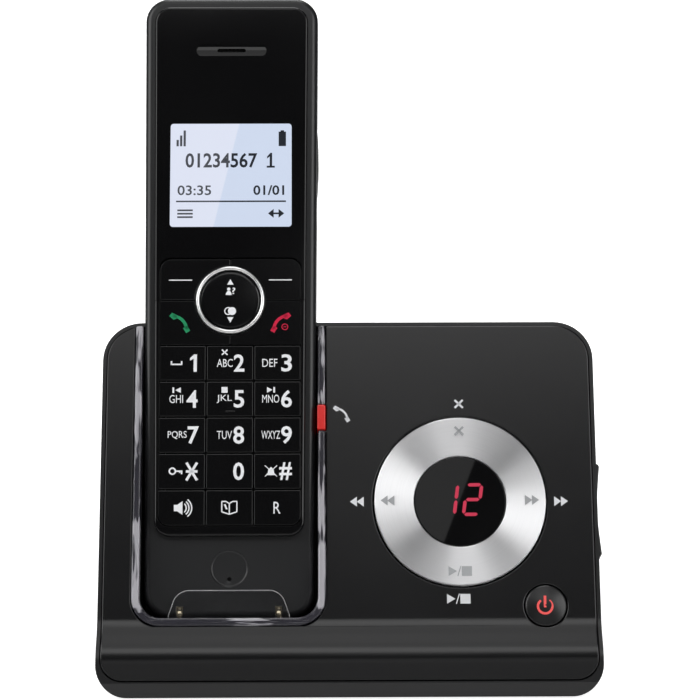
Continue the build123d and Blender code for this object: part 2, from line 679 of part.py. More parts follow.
def base_speaker():
    """The loudspeaker on the floor, its cone down and its magnet up."""
    rim, magnet = SPEAKER_RADIUS, SPEAKER_RADIUS - 8
    profile = Polyline((0, 0), (rim, 0), (rim, 1.6), (rim - 2, 1.6), (magnet, 0.6 * SPEAKER_HEIGHT),
                       (magnet, SPEAKER_HEIGHT), (0, SPEAKER_HEIGHT), (0, 0))
    speaker = revolve(Plane.XZ * make_face(profile), Axis.Z)
    return Pos(SPEAKER_X, SPEAKER_Y, FLOOR_TOP) * speaker


def socket_body(x, size):
    """A socket's block behind the back wall, on a pedestal that stands on the floor."""
    back, front = BASE_BACK - 0.4, BASE_BACK - PLUG_DEPTH - 3.4
    half_x, half_z = size[0] / 2, size[1] / 2
    low, high = SOCKET_HEIGHT - half_z, SOCKET_HEIGHT + half_z
    body = block(x - half_x, front, low, x + half_x, back, high)
    return body + block(x - half_x, front, FLOOR_TOP, x + half_x, BASE_BACK - CASE_WALL - 0.8, low)


def line_socket():
    """The modular jack, with the step that takes the plug's latch."""
    x, z = LINE_SOCKET_X, SOCKET_HEIGHT
    half, top, step = LINE_PLUG[0] / 2, LINE_PLUG[1] - 3.6, LINE_PLUG[1] - 9.6
    front, back = BASE_BACK - PLUG_DEPTH - 0.4, BASE_BACK + 1
    socket = socket_body(x, LINE_SOCKET_SIZE)
    socket -= block(x - half, front, z - 3.6, x + half, back, z + top)
    return socket - block(x - half + 1.8, front, z - 5.0, x + half - 1.8, back, z + step)


def power_socket():
    """The low-voltage socket: a round bore with a pin up its middle."""
    x, z = POWER_SOCKET_X, SOCKET_HEIGHT
    depth = PLUG_DEPTH - 2.0
    bore = Pos(x, BASE_BACK - 0.4, z) * Rot(90, 0, 0) * Cylinder(POWER_PLUG_RADIUS, 2 * depth)
    pin = Pos(x, BASE_BACK - 0.4 - depth / 2 - 1.5, z) * Rot(90, 0, 0) * Cylinder(POWER_PIN_RADIUS, depth - 1)
    return socket_body(x, POWER_SOCKET_SIZE) - bore + pin


# ---- handset shell ----


def handset_side(inset):
    """The handset seen from the side, moved in by a wall, as a solid of any width."""
    low, high = inset, HANDSET_LENGTH - inset
    front = FACE_BACK if inset else -FACE_STEP
    back, top_back = -HANDSET_THICKNESS + inset, -HANDSET_TOP_THICKNESS + inset
    outline = Polyline((BACK_BEND, back), (low, back), (low, front), (high, front), (high, top_back))
    outline += TangentArc((BACK_BEND, back), (high, top_back), tangent=(1, 0))
    return extrude(Plane.YZ * make_face(outline), amount=60, both=True)


def handset_outline(inset):
    """The handset seen from the front, a little wider at its head than at its chin."""
    low, high = HANDSET_BOTTOM_WIDTH / 2 - inset, HANDSET_TOP_WIDTH / 2 - inset
    top = HANDSET_LENGTH - inset
    face = Polygon((-low, inset), (low, inset), (high, top), (-high, top), align=None)
    return fillet(face.vertices(), HANDSET_CORNER - inset)


def handset_half_width(height):
    share = height / HANDSET_LENGTH
    return (HANDSET_BOTTOM_WIDTH + (HANDSET_TOP_WIDTH - HANDSET_BOTTOM_WIDTH) * share) / 2


def handset_shell():
    """The closed handset body, and the room inside it."""
    outer = slab(handset_outline(0), -40, 0) & handset_side(0)
    outer = fillet(rim_edges(outer, (0, 0, -1), 0.5), BACK_EDGE)
    outer = fillet(rim_edges(outer, (0, 0, 1), 0.5), FRONT_EDGE)
    inner = slab(handset_outline(HANDSET_WALL), -40, 0) & handset_side(HANDSET_WALL)
    inner -= block(-40, -1, -40, 40, DOOR_TOP + 2, DOOR_INNER + DOOR_GAP + HANDSET_WALL)
    return outer, inner


def key_centres():
    """Name, x and y of each key of the three-column field, from the top row down."""
    names = ["key_1", "key_2", "key_3", "key_4", "key_5", "key_6", "key_7", "key_8", "key_9",
             "key_star", "key_0", "key_hash", "key_speaker", "key_phonebook", "key_recall"]
    rows = len(names) // 3
    places = []
    for i, name in enumerate(names):
        column, row = i % 3, i // 3
        x = (column - 1) * KEY_COLUMN_PITCH
        y = KEY_FIELD_BOTTOM + (rows - 0.5 - row) * KEY_ROW_PITCH
        places.append((name, x, y))
    return places


def stem_places():
    """Where every key's stem comes down on the dome mat."""
    places = [(x, y) for _, x, y in key_centres()]
    places += [(x, y) for x in (-CALL_KEY_X, CALL_KEY_X) for y in (CALL_KEY_Y, SOFT_KEY_Y)]
    return places + [(0, SEAM_HEIGHT - NAV_STEM), (0, SEAM_HEIGHT + NAV_STEM)]


def keypad_window():
    """The opening in the housing behind the keys, round the island that carries the ring."""
    side = KEY_FIELD_SIDE - WINDOW_LEDGE
    window = span(-side, KEY_FIELD_BOTTOM + WINDOW_LEDGE, side, SEAM_HEIGHT - 1.5)
    window += span(-side, SEAM_HEIGHT + 1.5, side, SOFT_PAD_TOP - WINDOW_LEDGE)
    return window - Pos(0, SEAM_HEIGHT) * Circle(NAV_OUTER_RADIUS + 0.6)


def clip_notches():
    """The two notches in the handset's sides that the belt clip grips."""
    half = handset_half_width((CLIP_LOW + CLIP_HIGH) / 2) - CLIP_NOTCH
    low, high = CLIP_LOW - RUN_GAP, CLIP_HIGH + RUN_GAP
    return [block(side * half, low, -60, side * (half + 5), high, 1.6 - SPLIT_DEPTH) for side in (-1, 1)]


def screw_places():
    height = HANDSET_LENGTH - HANDSET_SCREW_DROP
    return [(-HANDSET_SCREW_SIDE, height), (HANDSET_SCREW_SIDE, height)]


def handset_front_housing():
    """The silver-black front half, with the openings behind keys, display and earpiece."""
    outer, inner = handset_shell()
    front = outer - block(-60, -60, -60, 60, FAR, -SPLIT_DEPTH)
    front -= inner
    front -= slab(keypad_window(), -10, 0)
    for side in (-1, 1):
        front -= Pos(0, SEAM_HEIGHT + side * NAV_STEM) * block(-1.7, -1.7, -10, 1.7, 1.7, 0)
    front -= rod(0, SEAM_HEIGHT, -10, 0, NAV_POST_RADIUS + 0.4)
    half_x, half_y = LCD_WIDTH / 2 + 1.1, LCD_HEIGHT / 2 + 1.15
    front -= Pos(0, LCD_CENTRE) * block(-half_x, -half_y, -10, half_x, half_y, 0)
    sound = Pos(0, EARPIECE_HEIGHT) * SlotOverall(EARPIECE_SLOT[0] + 1.0, EARPIECE_SLOT[1] + 0.9)
    front -= slab(sound, -10, 0)
    front -= rod(0, DIMPLE_HEIGHT, -FACE_STEP - DIMPLE_DEPTH, 0, DIMPLE_RADIUS)
    front -= rod(0, MIC_HEIGHT, -10, 0, 0.6)
    for x in contact_sides():
        front -= block(x - 2.0, -1, -FACE_STEP - 1.5, x + 2.0, 3.6, 0)
    for x in (-17.0, 17.0):
        for y in (15.0, SOFT_PAD_TOP + 3.4, LCD_CENTRE + 24.0):
            front += rod(x, y, HANDSET_BOARD_TOP, FACE_BACK + FACE_WALL / 2, 1.6)
    for notch in clip_notches():
        front -= notch
    return on_handset(front)


def handset_back_housing():
    """The back half: battery tray, door recess, ringer slots and screw bosses."""
    outer, inner = handset_shell()
    back = outer - block(-60, -60, -SPLIT_DEPTH, 60, FAR, 60)
    back -= inner
    side = 2 * CELL_RADIUS + CELL_GAP + 0.4
    low, high = CELL_BOTTOM - CELL_END_ROOM, CELL_TOP + CELL_END_ROOM
    lid = CELL_DEPTH + CELL_RADIUS + 0.4
    back += block(-side - TRAY_WALL, low - TRAY_WALL, DOOR_INNER + 1.5, side + TRAY_WALL, high + TRAY_WALL,
                  lid + TRAY_WALL)
    back -= block(-side, low, -60, side, high, lid)
    side = DOOR_SIDE + DOOR_GAP
    recess = span(-side, DOOR_BOTTOM - DOOR_TRAVEL - DOOR_GAP, side, DOOR_TOP + DOOR_GAP, 2)
    back -= slab(recess, -60, DOOR_INNER + DOOR_GAP)
    for i in range(-2, 3):
        back -= Pos(0, RINGER_HEIGHT + 3.0 * i, 2 - HANDSET_THICKNESS) * Box(12 - 2 * abs(i), 1.2, 8)
    for x, y in screw_places():
        back += rod(x, y, -HANDSET_THICKNESS + 5, -SPLIT_DEPTH, 3.0) & outer
        back -= rod(x, y, -60, -SPLIT_DEPTH + 1, HANDSET_SCREW_RADIUS + 0.15)
        back -= rod(x, y, -60, SCREW_SEAT, 2.3)
    for notch in clip_notches():
        back -= notch
    return on_handset(back)


def handset_screws():
    screws = []
    for x, y in screw_places():
        screw = rod(x, y, SCREW_SEAT, -SPLIT_DEPTH, HANDSET_SCREW_RADIUS)
        screw += rod(x, y, SCREW_SEAT - 1.2, SCREW_SEAT, 2.1)
        screw -= Pos(x, y, SCREW_SEAT - 1.2) * Box(2.8, 0.5, 0.8)
        screw -= Pos(x, y, SCREW_SEAT - 1.2) * Box(0.5, 2.8, 0.8)
        screws.append(on_handset(screw))
    return Compound(children=screws)


# ---- handset face ----


def face_plate(bottom, top):
    """The raised face between two heights, with its outer rim bevelled."""
    half = PLATEAU_WIDTH / 2
    full = slab(span(-half, CHIN, half, PLATEAU_TOP, FACE_CORNER), -FACE_STEP, 0)
    full = chamfer(top_edges(full), FACE_BEVEL)
    return full & block(-half - 1, bottom, -10, half + 1, top, 10)


def lcd_block(depth, height):
    half_x, half_y = LCD_WIDTH / 2, LCD_HEIGHT / 2
    return Pos(0, LCD_CENTRE) * block(-half_x, -half_y, depth, half_x, half_y, height)


def front_lens():
    """The glossy upper face, with the openings for display and earpiece."""
    lens = face_plate(SEAM_HEIGHT + SEAM_GAP / 2, FAR)
    pad = span(-PAD_SIDE, SEAM_HEIGHT - 30, PAD_SIDE, SOFT_PAD_TOP + KEY_GAP / 2, KEY_CORNER)
    lens -= slab(pad, -10, 10)
    lens -= lcd_block(-10, 10)
    lens -= slab(Pos(0, EARPIECE_HEIGHT) * SlotOverall(*EARPIECE_RECESS), -0.6, 10)
    return on_handset(lens - slab(Pos(0, EARPIECE_HEIGHT) * SlotOverall(*EARPIECE_SLOT), -10, 10))


def keypad_bezel():
    """The U-shaped lower half of the raised face, round the keys."""
    bezel = face_plate(0, SEAM_HEIGHT - SEAM_GAP / 2)
    pad = span(-PAD_SIDE, KEY_FIELD_BOTTOM - KEY_GAP / 2, PAD_SIDE, FAR, KEY_CORNER)
    return on_handset(bezel - slab(pad, -10, 10))


def display_window():
    return on_handset(lcd_block(-1.2, 0))


def display_module():
    half_x, half_y = LCD_WIDTH / 2 + 0.9, LCD_HEIGHT / 2 + 0.95
    body = block(-half_x, -half_y, HANDSET_BOARD_TOP, half_x, half_y, -FACE_STEP - 0.2)
    return on_handset(Pos(0, LCD_CENTRE) * body)


def earpiece_grille():
    outline = SlotOverall(EARPIECE_SLOT[0] + 0.8, EARPIECE_SLOT[1] + 0.7)
    grille = slab(Pos(0, EARPIECE_HEIGHT) * outline, -FACE_STEP - 0.8, -FACE_STEP)
    for x in range(-3, 4):
        grille -= Pos(1.15 * x, EARPIECE_HEIGHT) * Box(0.6, 0.6, 20)
    return on_handset(grille)


def earpiece_receiver():
    return on_handset(rod(0, EARPIECE_HEIGHT, HANDSET_BOARD_TOP, FACE_BACK, 6.5))


def microphone():
    return on_handset(rod(0, MIC_HEIGHT, HANDSET_BOARD_TOP, FACE_BACK - 0.2, 3.0))


def nav_ring():
    ring = rod(0, SEAM_HEIGHT, -FACE_STEP, NAV_RING_PROUD, NAV_OUTER_RADIUS)
    ring -= rod(0, SEAM_HEIGHT, -10, 10, NAV_OUTER_RADIUS - NAV_RING_WIDTH)
    return on_handset(chamfer(top_edges(ring), 0.35))


def nav_key():
    """The disc inside the chrome ring, which rocks up and down on a short pivot post."""
    disc = rod(0, 0, -FACE_STEP + 0.9, 0.1, NAV_OUTER_RADIUS - NAV_RING_WIDTH - RUN_GAP)
    disc = chamfer(top_edges(disc), 0.4)
    disc += rod(0, 0, -FACE_STEP - 0.6, -1, NAV_POST_RADIUS)
    for side in (-1, 1):
        disc += Pos(0, side * NAV_STEM) * block(-STEM / 2, -STEM / 2, STEM_END, STEM / 2, STEM / 2, -1)
    return on_handset(Pos(0, SEAM_HEIGHT) * disc)


def key_cap(outline, x, y):
    """A key: its cap with a softened edge, and the stem that passes through the housing."""
    cap = slab(outline, KEY_TOP - KEY_THICKNESS, KEY_TOP)
    cap = chamfer(top_edges(cap), 0.3)
    stem = block(-STEM / 2, -STEM / 2, STEM_END, STEM / 2, STEM / 2, KEY_TOP - KEY_THICKNESS / 2)
    return cap + Pos(x, y) * stem


def field_key(x, y):
    """One of the fifteen equal keys; those in the field's lower corners follow its rounding."""
    half_x, half_y = (KEY_COLUMN_PITCH - KEY_GAP) / 2, (KEY_ROW_PITCH - KEY_GAP) / 2
    outline = Pos(x, y) * Rectangle(2 * half_x, 2 * half_y)
    side, bottom = KEY_FIELD_SIDE - KEY_GAP / 2, KEY_FIELD_BOTTOM + KEY_GAP / 2
    return key_cap(outline & span(-side, bottom, side, FAR, KEY_CORNER - KEY_GAP), x, y)


def large_key(side, low, high, corner):
    """A key beside the navigation ring: a rectangle less the ring's circle."""
    x0, x1 = sorted((side * KEY_GAP / 2, side * (KEY_FIELD_SIDE - KEY_GAP / 2)))
    outline = span(x0, low + KEY_GAP / 2, x1, high - KEY_GAP / 2)
    if corner:
        edge = KEY_FIELD_SIDE - KEY_GAP / 2
        outline &= span(-edge, low - 30, edge, high - KEY_GAP / 2, corner)
    outline -= Pos(0, SEAM_HEIGHT) * Circle(NAV_OUTER_RADIUS + RUN_GAP)
    return key_cap(outline, side * CALL_KEY_X, (low + high) / 2)


def dome_mat():
    """The rubber sheet under the keys, with a raised pad below every stem."""
    side = KEY_FIELD_SIDE - 0.4
    mat = slab(span(-side, KEY_FIELD_BOTTOM, side, SOFT_PAD_TOP, 1), HANDSET_BOARD_TOP, MAT_TOP)
    for x, y in stem_places():
        mat += Pos(x, y, MAT_TOP) * extrude(Rectangle(3.8, 3.8), amount=PAD_HEIGHT, taper=30)
    return on_handset(mat)


def handset_circuit_board():
    back = HANDSET_BOARD_TOP - HANDSET_BOARD_THICKNESS
    board = slab(span(-20.5, 8.0, 20.5, HANDSET_LENGTH - 10.3, 3), back, HANDSET_BOARD_TOP)
    board += block(-8, LCD_CENTRE + 4, back - 1.8, 8, LCD_CENTRE + 20, back)
    return on_handset(board)


def ringer_speaker():
    seat = -HANDSET_THICKNESS + HANDSET_WALL + 0.8
    body = rod(0, RINGER_HEIGHT, seat, seat + 4.2, RINGER_RADIUS)
    return on_handset(body + rod(0, RINGER_HEIGHT, seat + 4.2, seat + 5.6, RINGER_RADIUS - 4.5))


def battery_cells():
    """Two cells side by side, laid head to tail."""
    cells = []
    cell = rod(0, 0, 0, CELL_LENGTH - 1, CELL_RADIUS) + rod(0, 0, CELL_LENGTH - 2, CELL_LENGTH, 1.9)
    side = CELL_RADIUS + CELL_GAP / 2
    for x, y, turn in ((-side, CELL_BOTTOM, -90), (side, CELL_TOP, 90)):
        cells.append(on_handset(Pos(x, y, CELL_DEPTH) * Rot(turn, 0, 0) * cell))
    return Compound(children=cells)


def battery_door():
    """The sliding door, with five grip grooves at its upper end."""
    back = -HANDSET_THICKNESS
    door = slab(span(-DOOR_SIDE, DOOR_BOTTOM, DOOR_SIDE, DOOR_TOP, 1.8), back, DOOR_INNER)
    for i in range(5):
        door -= Pos(0, DOOR_TOP - 8 - 2.2 * i, back) * Box(16, 0.9, 0.8)
    return on_handset(door)


def belt_clip():
    """A channel that grips the notches in the housing's sides, with a sprung tongue behind it."""
    half = handset_half_width((CLIP_LOW + CLIP_HIGH) / 2) - CLIP_NOTCH + RUN_GAP
    back = -HANDSET_THICKNESS - RUN_GAP
    outer = span(-half - CLIP_WALL, back - CLIP_WALL, half + CLIP_WALL, 0, 3.5)
    inner = span(-half, back, half, 5, 2.5)
    channel = Rot(90, 0, 0) * extrude(outer - inner, amount=CLIP_HIGH - CLIP_LOW)
    channel = Pos(0, CLIP_HIGH, 0) * channel
    channel &= block(-60, 0, -60, 60, FAR, 1.2 - SPLIT_DEPTH)
    tongue_back = back - 2 * CLIP_WALL - CLIP_ROOM
    inside, tip, top = tongue_back + CLIP_WALL + 0.2, CLIP_LOW - CLIP_REACH, CLIP_HIGH - 2
    side = Polyline((CLIP_HIGH, back - 0.4), (CLIP_HIGH, tongue_back), (tip + 2, tongue_back),
                    (tip, tongue_back + 2.2), (tip, tongue_back + 3.4), (tip + 3.5, inside),
                    (top, inside), (top, back - 0.4), (CLIP_HIGH, back - 0.4))
    tongue = extrude(Plane.YZ * make_face(side), amount=CLIP_TONGUE_WIDTH / 2, both=True)
    return on_handset(channel + tongue)


def handset_charge_contacts():
    """Two plates set into the handset's chin, which meet the base's strips."""
    low, high = -FACE_STEP - 1.5, -FACE_STEP - 1.2
    plates = [block(x - 1.8, 0.6, low, x + 1.8, 3.4, high) for x in contact_sides()]
    return Compound(children=[on_handset(plate) for plate in plates])


# ---- every piece ----


def main():
    os.makedirs("parts", exist_ok=True)
    pieces = [
        base_top_cover, base_bottom_case, rubber_feet, base_screws, cradle_well, base_charge_contacts,
        cradle_trim, in_use_light, dial_ring, dial_gimbal, dial_window, message_display, dial_dome_mat,
        power_button, volume_rocker, base_circuit_board, base_speaker, line_socket, power_socket,
        handset_front_housing, handset_back_housing, handset_screws, front_lens, keypad_bezel,
        display_window, display_module, earpiece_grille, earpiece_receiver, microphone, nav_ring, nav_key,
        dome_mat, handset_circuit_board, ringer_speaker, battery_cells, battery_door, belt_clip,
        handset_charge_contacts,
    ]
    for piece in pieces:
        write(piece(), piece.__name__)
    for name, x, y in key_centres():
        write(on_handset(field_key(x, y)), name)
    corner = KEY_CORNER - KEY_GAP
    write(on_handset(large_key(-1, KEY_FIELD_TOP, SEAM_HEIGHT, 0)), "talk_key")
    write(on_handset(large_key(1, KEY_FIELD_TOP, SEAM_HEIGHT, 0)), "off_key")
    write(on_handset(large_key(-1, SEAM_HEIGHT, SOFT_PAD_TOP, corner)), "soft_key_left")
    write(on_handset(large_key(1, SEAM_HEIGHT, SOFT_PAD_TOP, corner)), "soft_key_right")


main()
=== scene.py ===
import bpy
from math import atan2, cos, hypot, pi, radians, sin, tan
from mathutils import Matrix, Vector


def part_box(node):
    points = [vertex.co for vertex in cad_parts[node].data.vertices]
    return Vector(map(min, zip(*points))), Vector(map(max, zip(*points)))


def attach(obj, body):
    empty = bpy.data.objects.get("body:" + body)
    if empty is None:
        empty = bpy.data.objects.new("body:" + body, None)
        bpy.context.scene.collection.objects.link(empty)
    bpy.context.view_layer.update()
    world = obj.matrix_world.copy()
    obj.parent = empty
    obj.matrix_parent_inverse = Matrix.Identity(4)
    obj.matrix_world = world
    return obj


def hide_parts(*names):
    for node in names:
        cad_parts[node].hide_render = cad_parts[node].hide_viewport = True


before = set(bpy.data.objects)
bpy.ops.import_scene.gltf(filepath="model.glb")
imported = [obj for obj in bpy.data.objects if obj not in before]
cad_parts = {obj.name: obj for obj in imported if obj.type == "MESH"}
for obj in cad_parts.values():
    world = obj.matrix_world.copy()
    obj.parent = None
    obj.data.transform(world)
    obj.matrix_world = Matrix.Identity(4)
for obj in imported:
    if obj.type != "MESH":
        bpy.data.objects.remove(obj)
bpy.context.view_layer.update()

# ---- top cover ----
# The dark front moulding of the base: a low apron, a rounded shoulder and the slanted panel.
# It is injection moulded in black ABS with a fine satin texture, drops into the case's rim and
# is held by four screws from below. The dial, the power button and the cradle come through it.

MM = 0.001
lip_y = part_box("base_bottom_case")[0][1] / MM
base_side, panel_tilt, panel_length = 69.2, 56.0, 86.3
run, rise = cos(radians(panel_tilt)), sin(radians(panel_tilt))
apron_tilt, apron_top, crease, hollow = 70.0, (3.3, 12.9), (10.864, 18.137), (10.193, 17.142)
fold_radii = (1.0, 9.0, 12.0)
cover_rim, cover_bottom, cover_skirt, cover_wall = 1.3, -16.27, 4.4, 2.0
cradle_x, opening_half, trim_half, trim_inside = -33.2, 26.85, 26.7, 24.65
dial_x, dial_y = 30.9, 33.95
power_x, power_y = 54.0, 4.5
light_low, light_high = 54.4, 61.8
as_side_view = Matrix(((0, 0, 1, 0), (1, 0, 0, 0), (0, 1, 0, 0), (0, 0, 0, 1)))
panel_place = (Matrix.Translation((0, (lip_y + crease[0]) * MM, crease[1] * MM))
               @ Matrix.Rotation(radians(panel_tilt), 4, "X"))


def up_slope(point, tilt, length):
    """The side-view point reached by going up a slope from another."""
    return (point[0] + length * cos(radians(tilt)), point[1] + length * sin(radians(tilt)))


def sunk(point, depth):
    """A side-view point moved into the base, square to the panel."""
    return (point[0] + depth * rise, point[1] - depth * run)


def only(piece):
    """Makes one piece the selected and active one."""
    bpy.ops.object.select_all(action="DESELECT")
    piece.select_set(True)
    bpy.context.view_layer.objects.active = piece


def opened(piece, kind="VERT", action="SELECT"):
    """Opens one piece for editing, with all or none of it selected."""
    only(piece)
    bpy.ops.object.mode_set(mode="EDIT")
    bpy.ops.mesh.select_mode(type=kind)
    bpy.ops.mesh.select_all(action=action)


def closed_solid(piece, threshold):
    """Merges doubled points, turns all faces outwards and closes the editing."""
    bpy.ops.mesh.select_all(action="SELECT")
    bpy.ops.mesh.remove_doubles(threshold=threshold)
    bpy.ops.mesh.normals_make_consistent(inside=False)
    bpy.ops.object.mode_set(mode="OBJECT")
    return piece


def settle(piece, place=None):
    """Applies a piece's place, turn and size, or the ones given, to its mesh."""
    if place is not None:
        piece.matrix_world = place
    only(piece)
    bpy.ops.object.transform_apply(location=True, rotation=True, scale=True)
    return piece


def drawn(points, low, high):
    """Draws a flat outline point by point, fills it and pulls it up to a thickness."""
    bpy.ops.mesh.primitive_plane_add(size=0.001, location=(points[0][0], points[0][1], low))
    piece = bpy.context.object
    opened(piece)
    bpy.ops.mesh.merge(type="CENTER")
    for a, b in zip(points, points[1:] + points[:1]):
        step = (b[0] - a[0], b[1] - a[1], 0)
        bpy.ops.mesh.extrude_vertices_move(TRANSFORM_OT_translate={"value": step})
    bpy.ops.mesh.select_all(action="SELECT")
    bpy.ops.mesh.remove_doubles(threshold=0.002)
    bpy.ops.mesh.edge_face_add()
    bpy.ops.mesh.extrude_region_move(TRANSFORM_OT_translate={"value": (0, 0, high - low)})
    return settle(closed_solid(piece, 0.00001))


def round_where(piece, chosen, width, steps):
    """Rounds the edges that pass a test."""
    opened(piece, "EDGE", "DESELECT")
    bpy.ops.object.mode_set(mode="OBJECT")
    for edge in piece.data.edges:
        edge.select = chosen(edge)
    bpy.ops.object.mode_set(mode="EDIT")
    bpy.ops.mesh.bevel(offset=width, segments=steps, affect="EDGES")
    bpy.ops.object.mode_set(mode="OBJECT")


def round_edges(piece, test, width, steps):
    """Rounds the edges whose two end points pass a test."""
    points = piece.data.vertices
    round_where(piece, lambda edge: test(*(points[i].co for i in edge.vertices)), width, steps)


def cut_off(piece, point, direction):
    """Cuts away what lies beyond a plane, and closes the cut."""
    opened(piece)
    bpy.ops.mesh.bisect(plane_co=point, plane_no=direction, use_fill=True, clear_outer=True)
    bpy.ops.object.mode_set(mode="OBJECT")


def rounded(corners, radius, steps=8):
    """A closed outline whose corners, given counterclockwise, are rounded to one radius each."""
    radii = radius if isinstance(radius, list) else [radius] * len(corners)
    outline = []
    for i, ((x, y), radius) in enumerate(zip(corners, radii)):
        before, after = corners[i - 1], corners[(i + 1) % len(corners)]
        a = atan2(before[1] - y, before[0] - x)
        b = atan2(after[1] - y, after[0] - x)
        half = ((a - b) % (2 * pi)) / 2
        reach = radius / sin(half)
        middle = (x + reach * cos(b + half), y + reach * sin(b + half))
        turns = [a + pi / 2 + (pi - 2 * half) * k / steps for k in range(steps + 1)] if radius else [0]
        outline += [(middle[0] + radius * cos(t), middle[1] + radius * sin(t)) for t in turns]
    return outline


def combine(piece, tool, how):
    """Cuts, joins or intersects a piece with another, which is used up."""
    only(piece)
    change = piece.modifiers.new("shape", "BOOLEAN")
    change.operation, change.solver, change.object = how, "EXACT", tool
    bpy.ops.object.modifier_apply(modifier="shape")
    bpy.data.objects.remove(tool)
    return piece


def cut(piece, *tools):
    """Cuts tools out of a piece, one after the other."""
    for tool in tools:
        combine(piece, tool, "DIFFERENCE")
    return piece


def front_slab(path, near, far, low, high, side, low_corner, high_corner):
    """A slab behind the front's side-view path, cut square to the panel, with rounded corners."""
    outer, inner = [sunk(p, near) for p in path], [sunk(p, far) for p in path]
    piece = drawn(outer + inner[::-1], -side - 3, side + 3)
    for row in (outer, inner):
        for before, point, after, radius in zip(row, row[1:], row[2:], fold_radii[2 - len(path):]):
            turn = atan2(after[1] - point[1], after[0] - point[0])
            turn -= atan2(point[1] - before[1], point[0] - before[0])
            fold = lambda a, b: all(abs(co.x - point[0]) + abs(co.y - point[1]) < 0.05 for co in (a, b))
            round_edges(piece, fold, radius * tan(abs(turn) / 2), 8 if radius > 5 else 6)
    corners = [(-side, low), (side, low), (side, high), (-side, high)]
    plan = drawn(rounded(corners, [low_corner] * 2 + [high_corner] * 2, 12), -170, 30)
    square = ((0, run, -rise, crease[0]), (0, rise, run, crease[1]), (1, 0, 0, 0), (0, 0, 0, 1))
    return combine(piece, settle(plan, Matrix(square)), "INTERSECT")


def side_on(piece):
    """Turns a piece drawn from the side, y and z first, to stand across the base."""
    return settle(piece, Matrix.Translation((0, lip_y * MM, 0)) @ as_side_view @ Matrix.Scale(MM, 4))


def on_panel(piece):
    """Lays a piece made flat, in millimetres, on the slanted panel, from the crease's middle."""
    return settle(piece, panel_place @ Matrix.Scale(MM, 4))


def block(x0, y0, x1, y1, low, high, corner=0, steps=8, ends=(-1, 1)):
    """A block between two corners, its upright edges rounded at the lower (-1) or upper (1) end."""
    (x0, x1), (y0, y1) = sorted((x0, x1)), sorted((y0, y1))
    bpy.ops.mesh.primitive_cube_add(size=1, location=((x0 + x1) / 2, (y0 + y1) / 2, (low + high) / 2))
    piece = bpy.context.object
    piece.scale = (x1 - x0, y1 - y0, high - low)
    settle(piece)
    if corner:
        rows = [y for y, sign in ((y0, -1), (y1, 1)) if sign in ends]
        upright = lambda a, b: (abs(a.x - b.x) + abs(a.y - b.y) < 0.001
                                and any(abs(a.y - y) < 0.001 for y in rows))
        round_edges(piece, upright, corner, steps)
    return piece


def centred(x, y, half_x, half_y, *more):
    """A block round a middle."""
    return block(x - half_x, y - half_y, x + half_x, y + half_y, *more)


def post(x, y, low, high, radius, sides=64):
    """A round post."""
    bpy.ops.mesh.primitive_cylinder_add(vertices=sides, radius=radius, depth=high - low,
                                        location=(x, y, (low + high) / 2))
    return settle(bpy.context.object)


def smooth(piece, angle):
    """Shades a piece smooth across its shallow edges."""
    only(piece)
    bpy.ops.object.shade_smooth_by_angle(angle=radians(angle))
    return piece


def soften(piece, width, steps=3, angle=32, hold=True):
    """Breaks all sharp edges with a small radius and shades the piece smooth between them."""
    only(piece)
    edge = piece.modifiers.new("edge", "BEVEL")
    edge.width, edge.segments, edge.angle_limit = width * MM, steps, radians(angle)
    edge.limit_method, edge.miter_outer, edge.use_clamp_overlap = "ANGLE", "MITER_ARC", hold
    bpy.ops.object.modifier_apply(modifier="edge")
    smooth(piece, angle)
    piece.modifiers.new("flow", "WEIGHTED_NORMAL").keep_sharp = True
    bpy.ops.object.modifier_apply(modifier="flow")
    return piece


def fill(node, *first, **values):
    """Sets a node's sockets, in order or by name, to values or to other nodes' outputs."""
    by_name = [(node.inputs[key.replace("_", " ")], value) for key, value in values.items()
               if key[0].isupper()]
    for socket, value in list(zip(node.inputs, first)) + by_name:
        value = value.outputs[0] if isinstance(value, bpy.types.Node) else value
        if isinstance(value, bpy.types.NodeSocket):
            node.id_data.links.new(value, socket)
        elif value is not None:
            socket.default_value = value
    for key, value in values.items():
        if key[0].islower():
            setattr(node, key, value)
    return node


def add(tree, kind, *first, **values):
    """Adds a shading node to a tree."""
    return fill(tree.nodes.new("ShaderNode" + kind), *first, **values)


def tones(tree, factor, dark, light, start=0.0, end=1.0):
    """A ramp between two colours."""
    ramp = add(tree, "ValToRGB", factor)
    for stop, colour, position in zip(ramp.color_ramp.elements, (dark, light), (start, end)):
        stop.color, stop.position = (*colour, 1), position
    return ramp


def new_material(name):
    """A material, its tree of nodes, its shader and the place on the object that its nodes go by."""
    material = bpy.data.materials.new(name)
    material.use_nodes = True
    tree = material.node_tree
    return material, tree, tree.nodes["Principled BSDF"], add(tree, "TexCoord").outputs["Object"]


def noisy(name, dark, light, scale, detail, rough, start=0.0, end=1.0, relief=None, **values):
    """Two near colours in slow clouds, with a roughness and a relief that may follow them."""
    material, tree, shader, place = new_material(name)
    clouds = add(tree, "TexNoise", place, Scale=scale, Detail=detail)
    if isinstance(rough, tuple):
        rough = add(tree, "MapRange", clouds, 0.0, 1.0, *rough)
    if relief:
        values["Normal"] = add(tree, "Bump", Strength=relief[0], Distance=relief[1], Height=clouds)
    fill(shader, Base_Color=tones(tree, clouds, dark, light, start, end), Roughness=rough, **values)
    return material


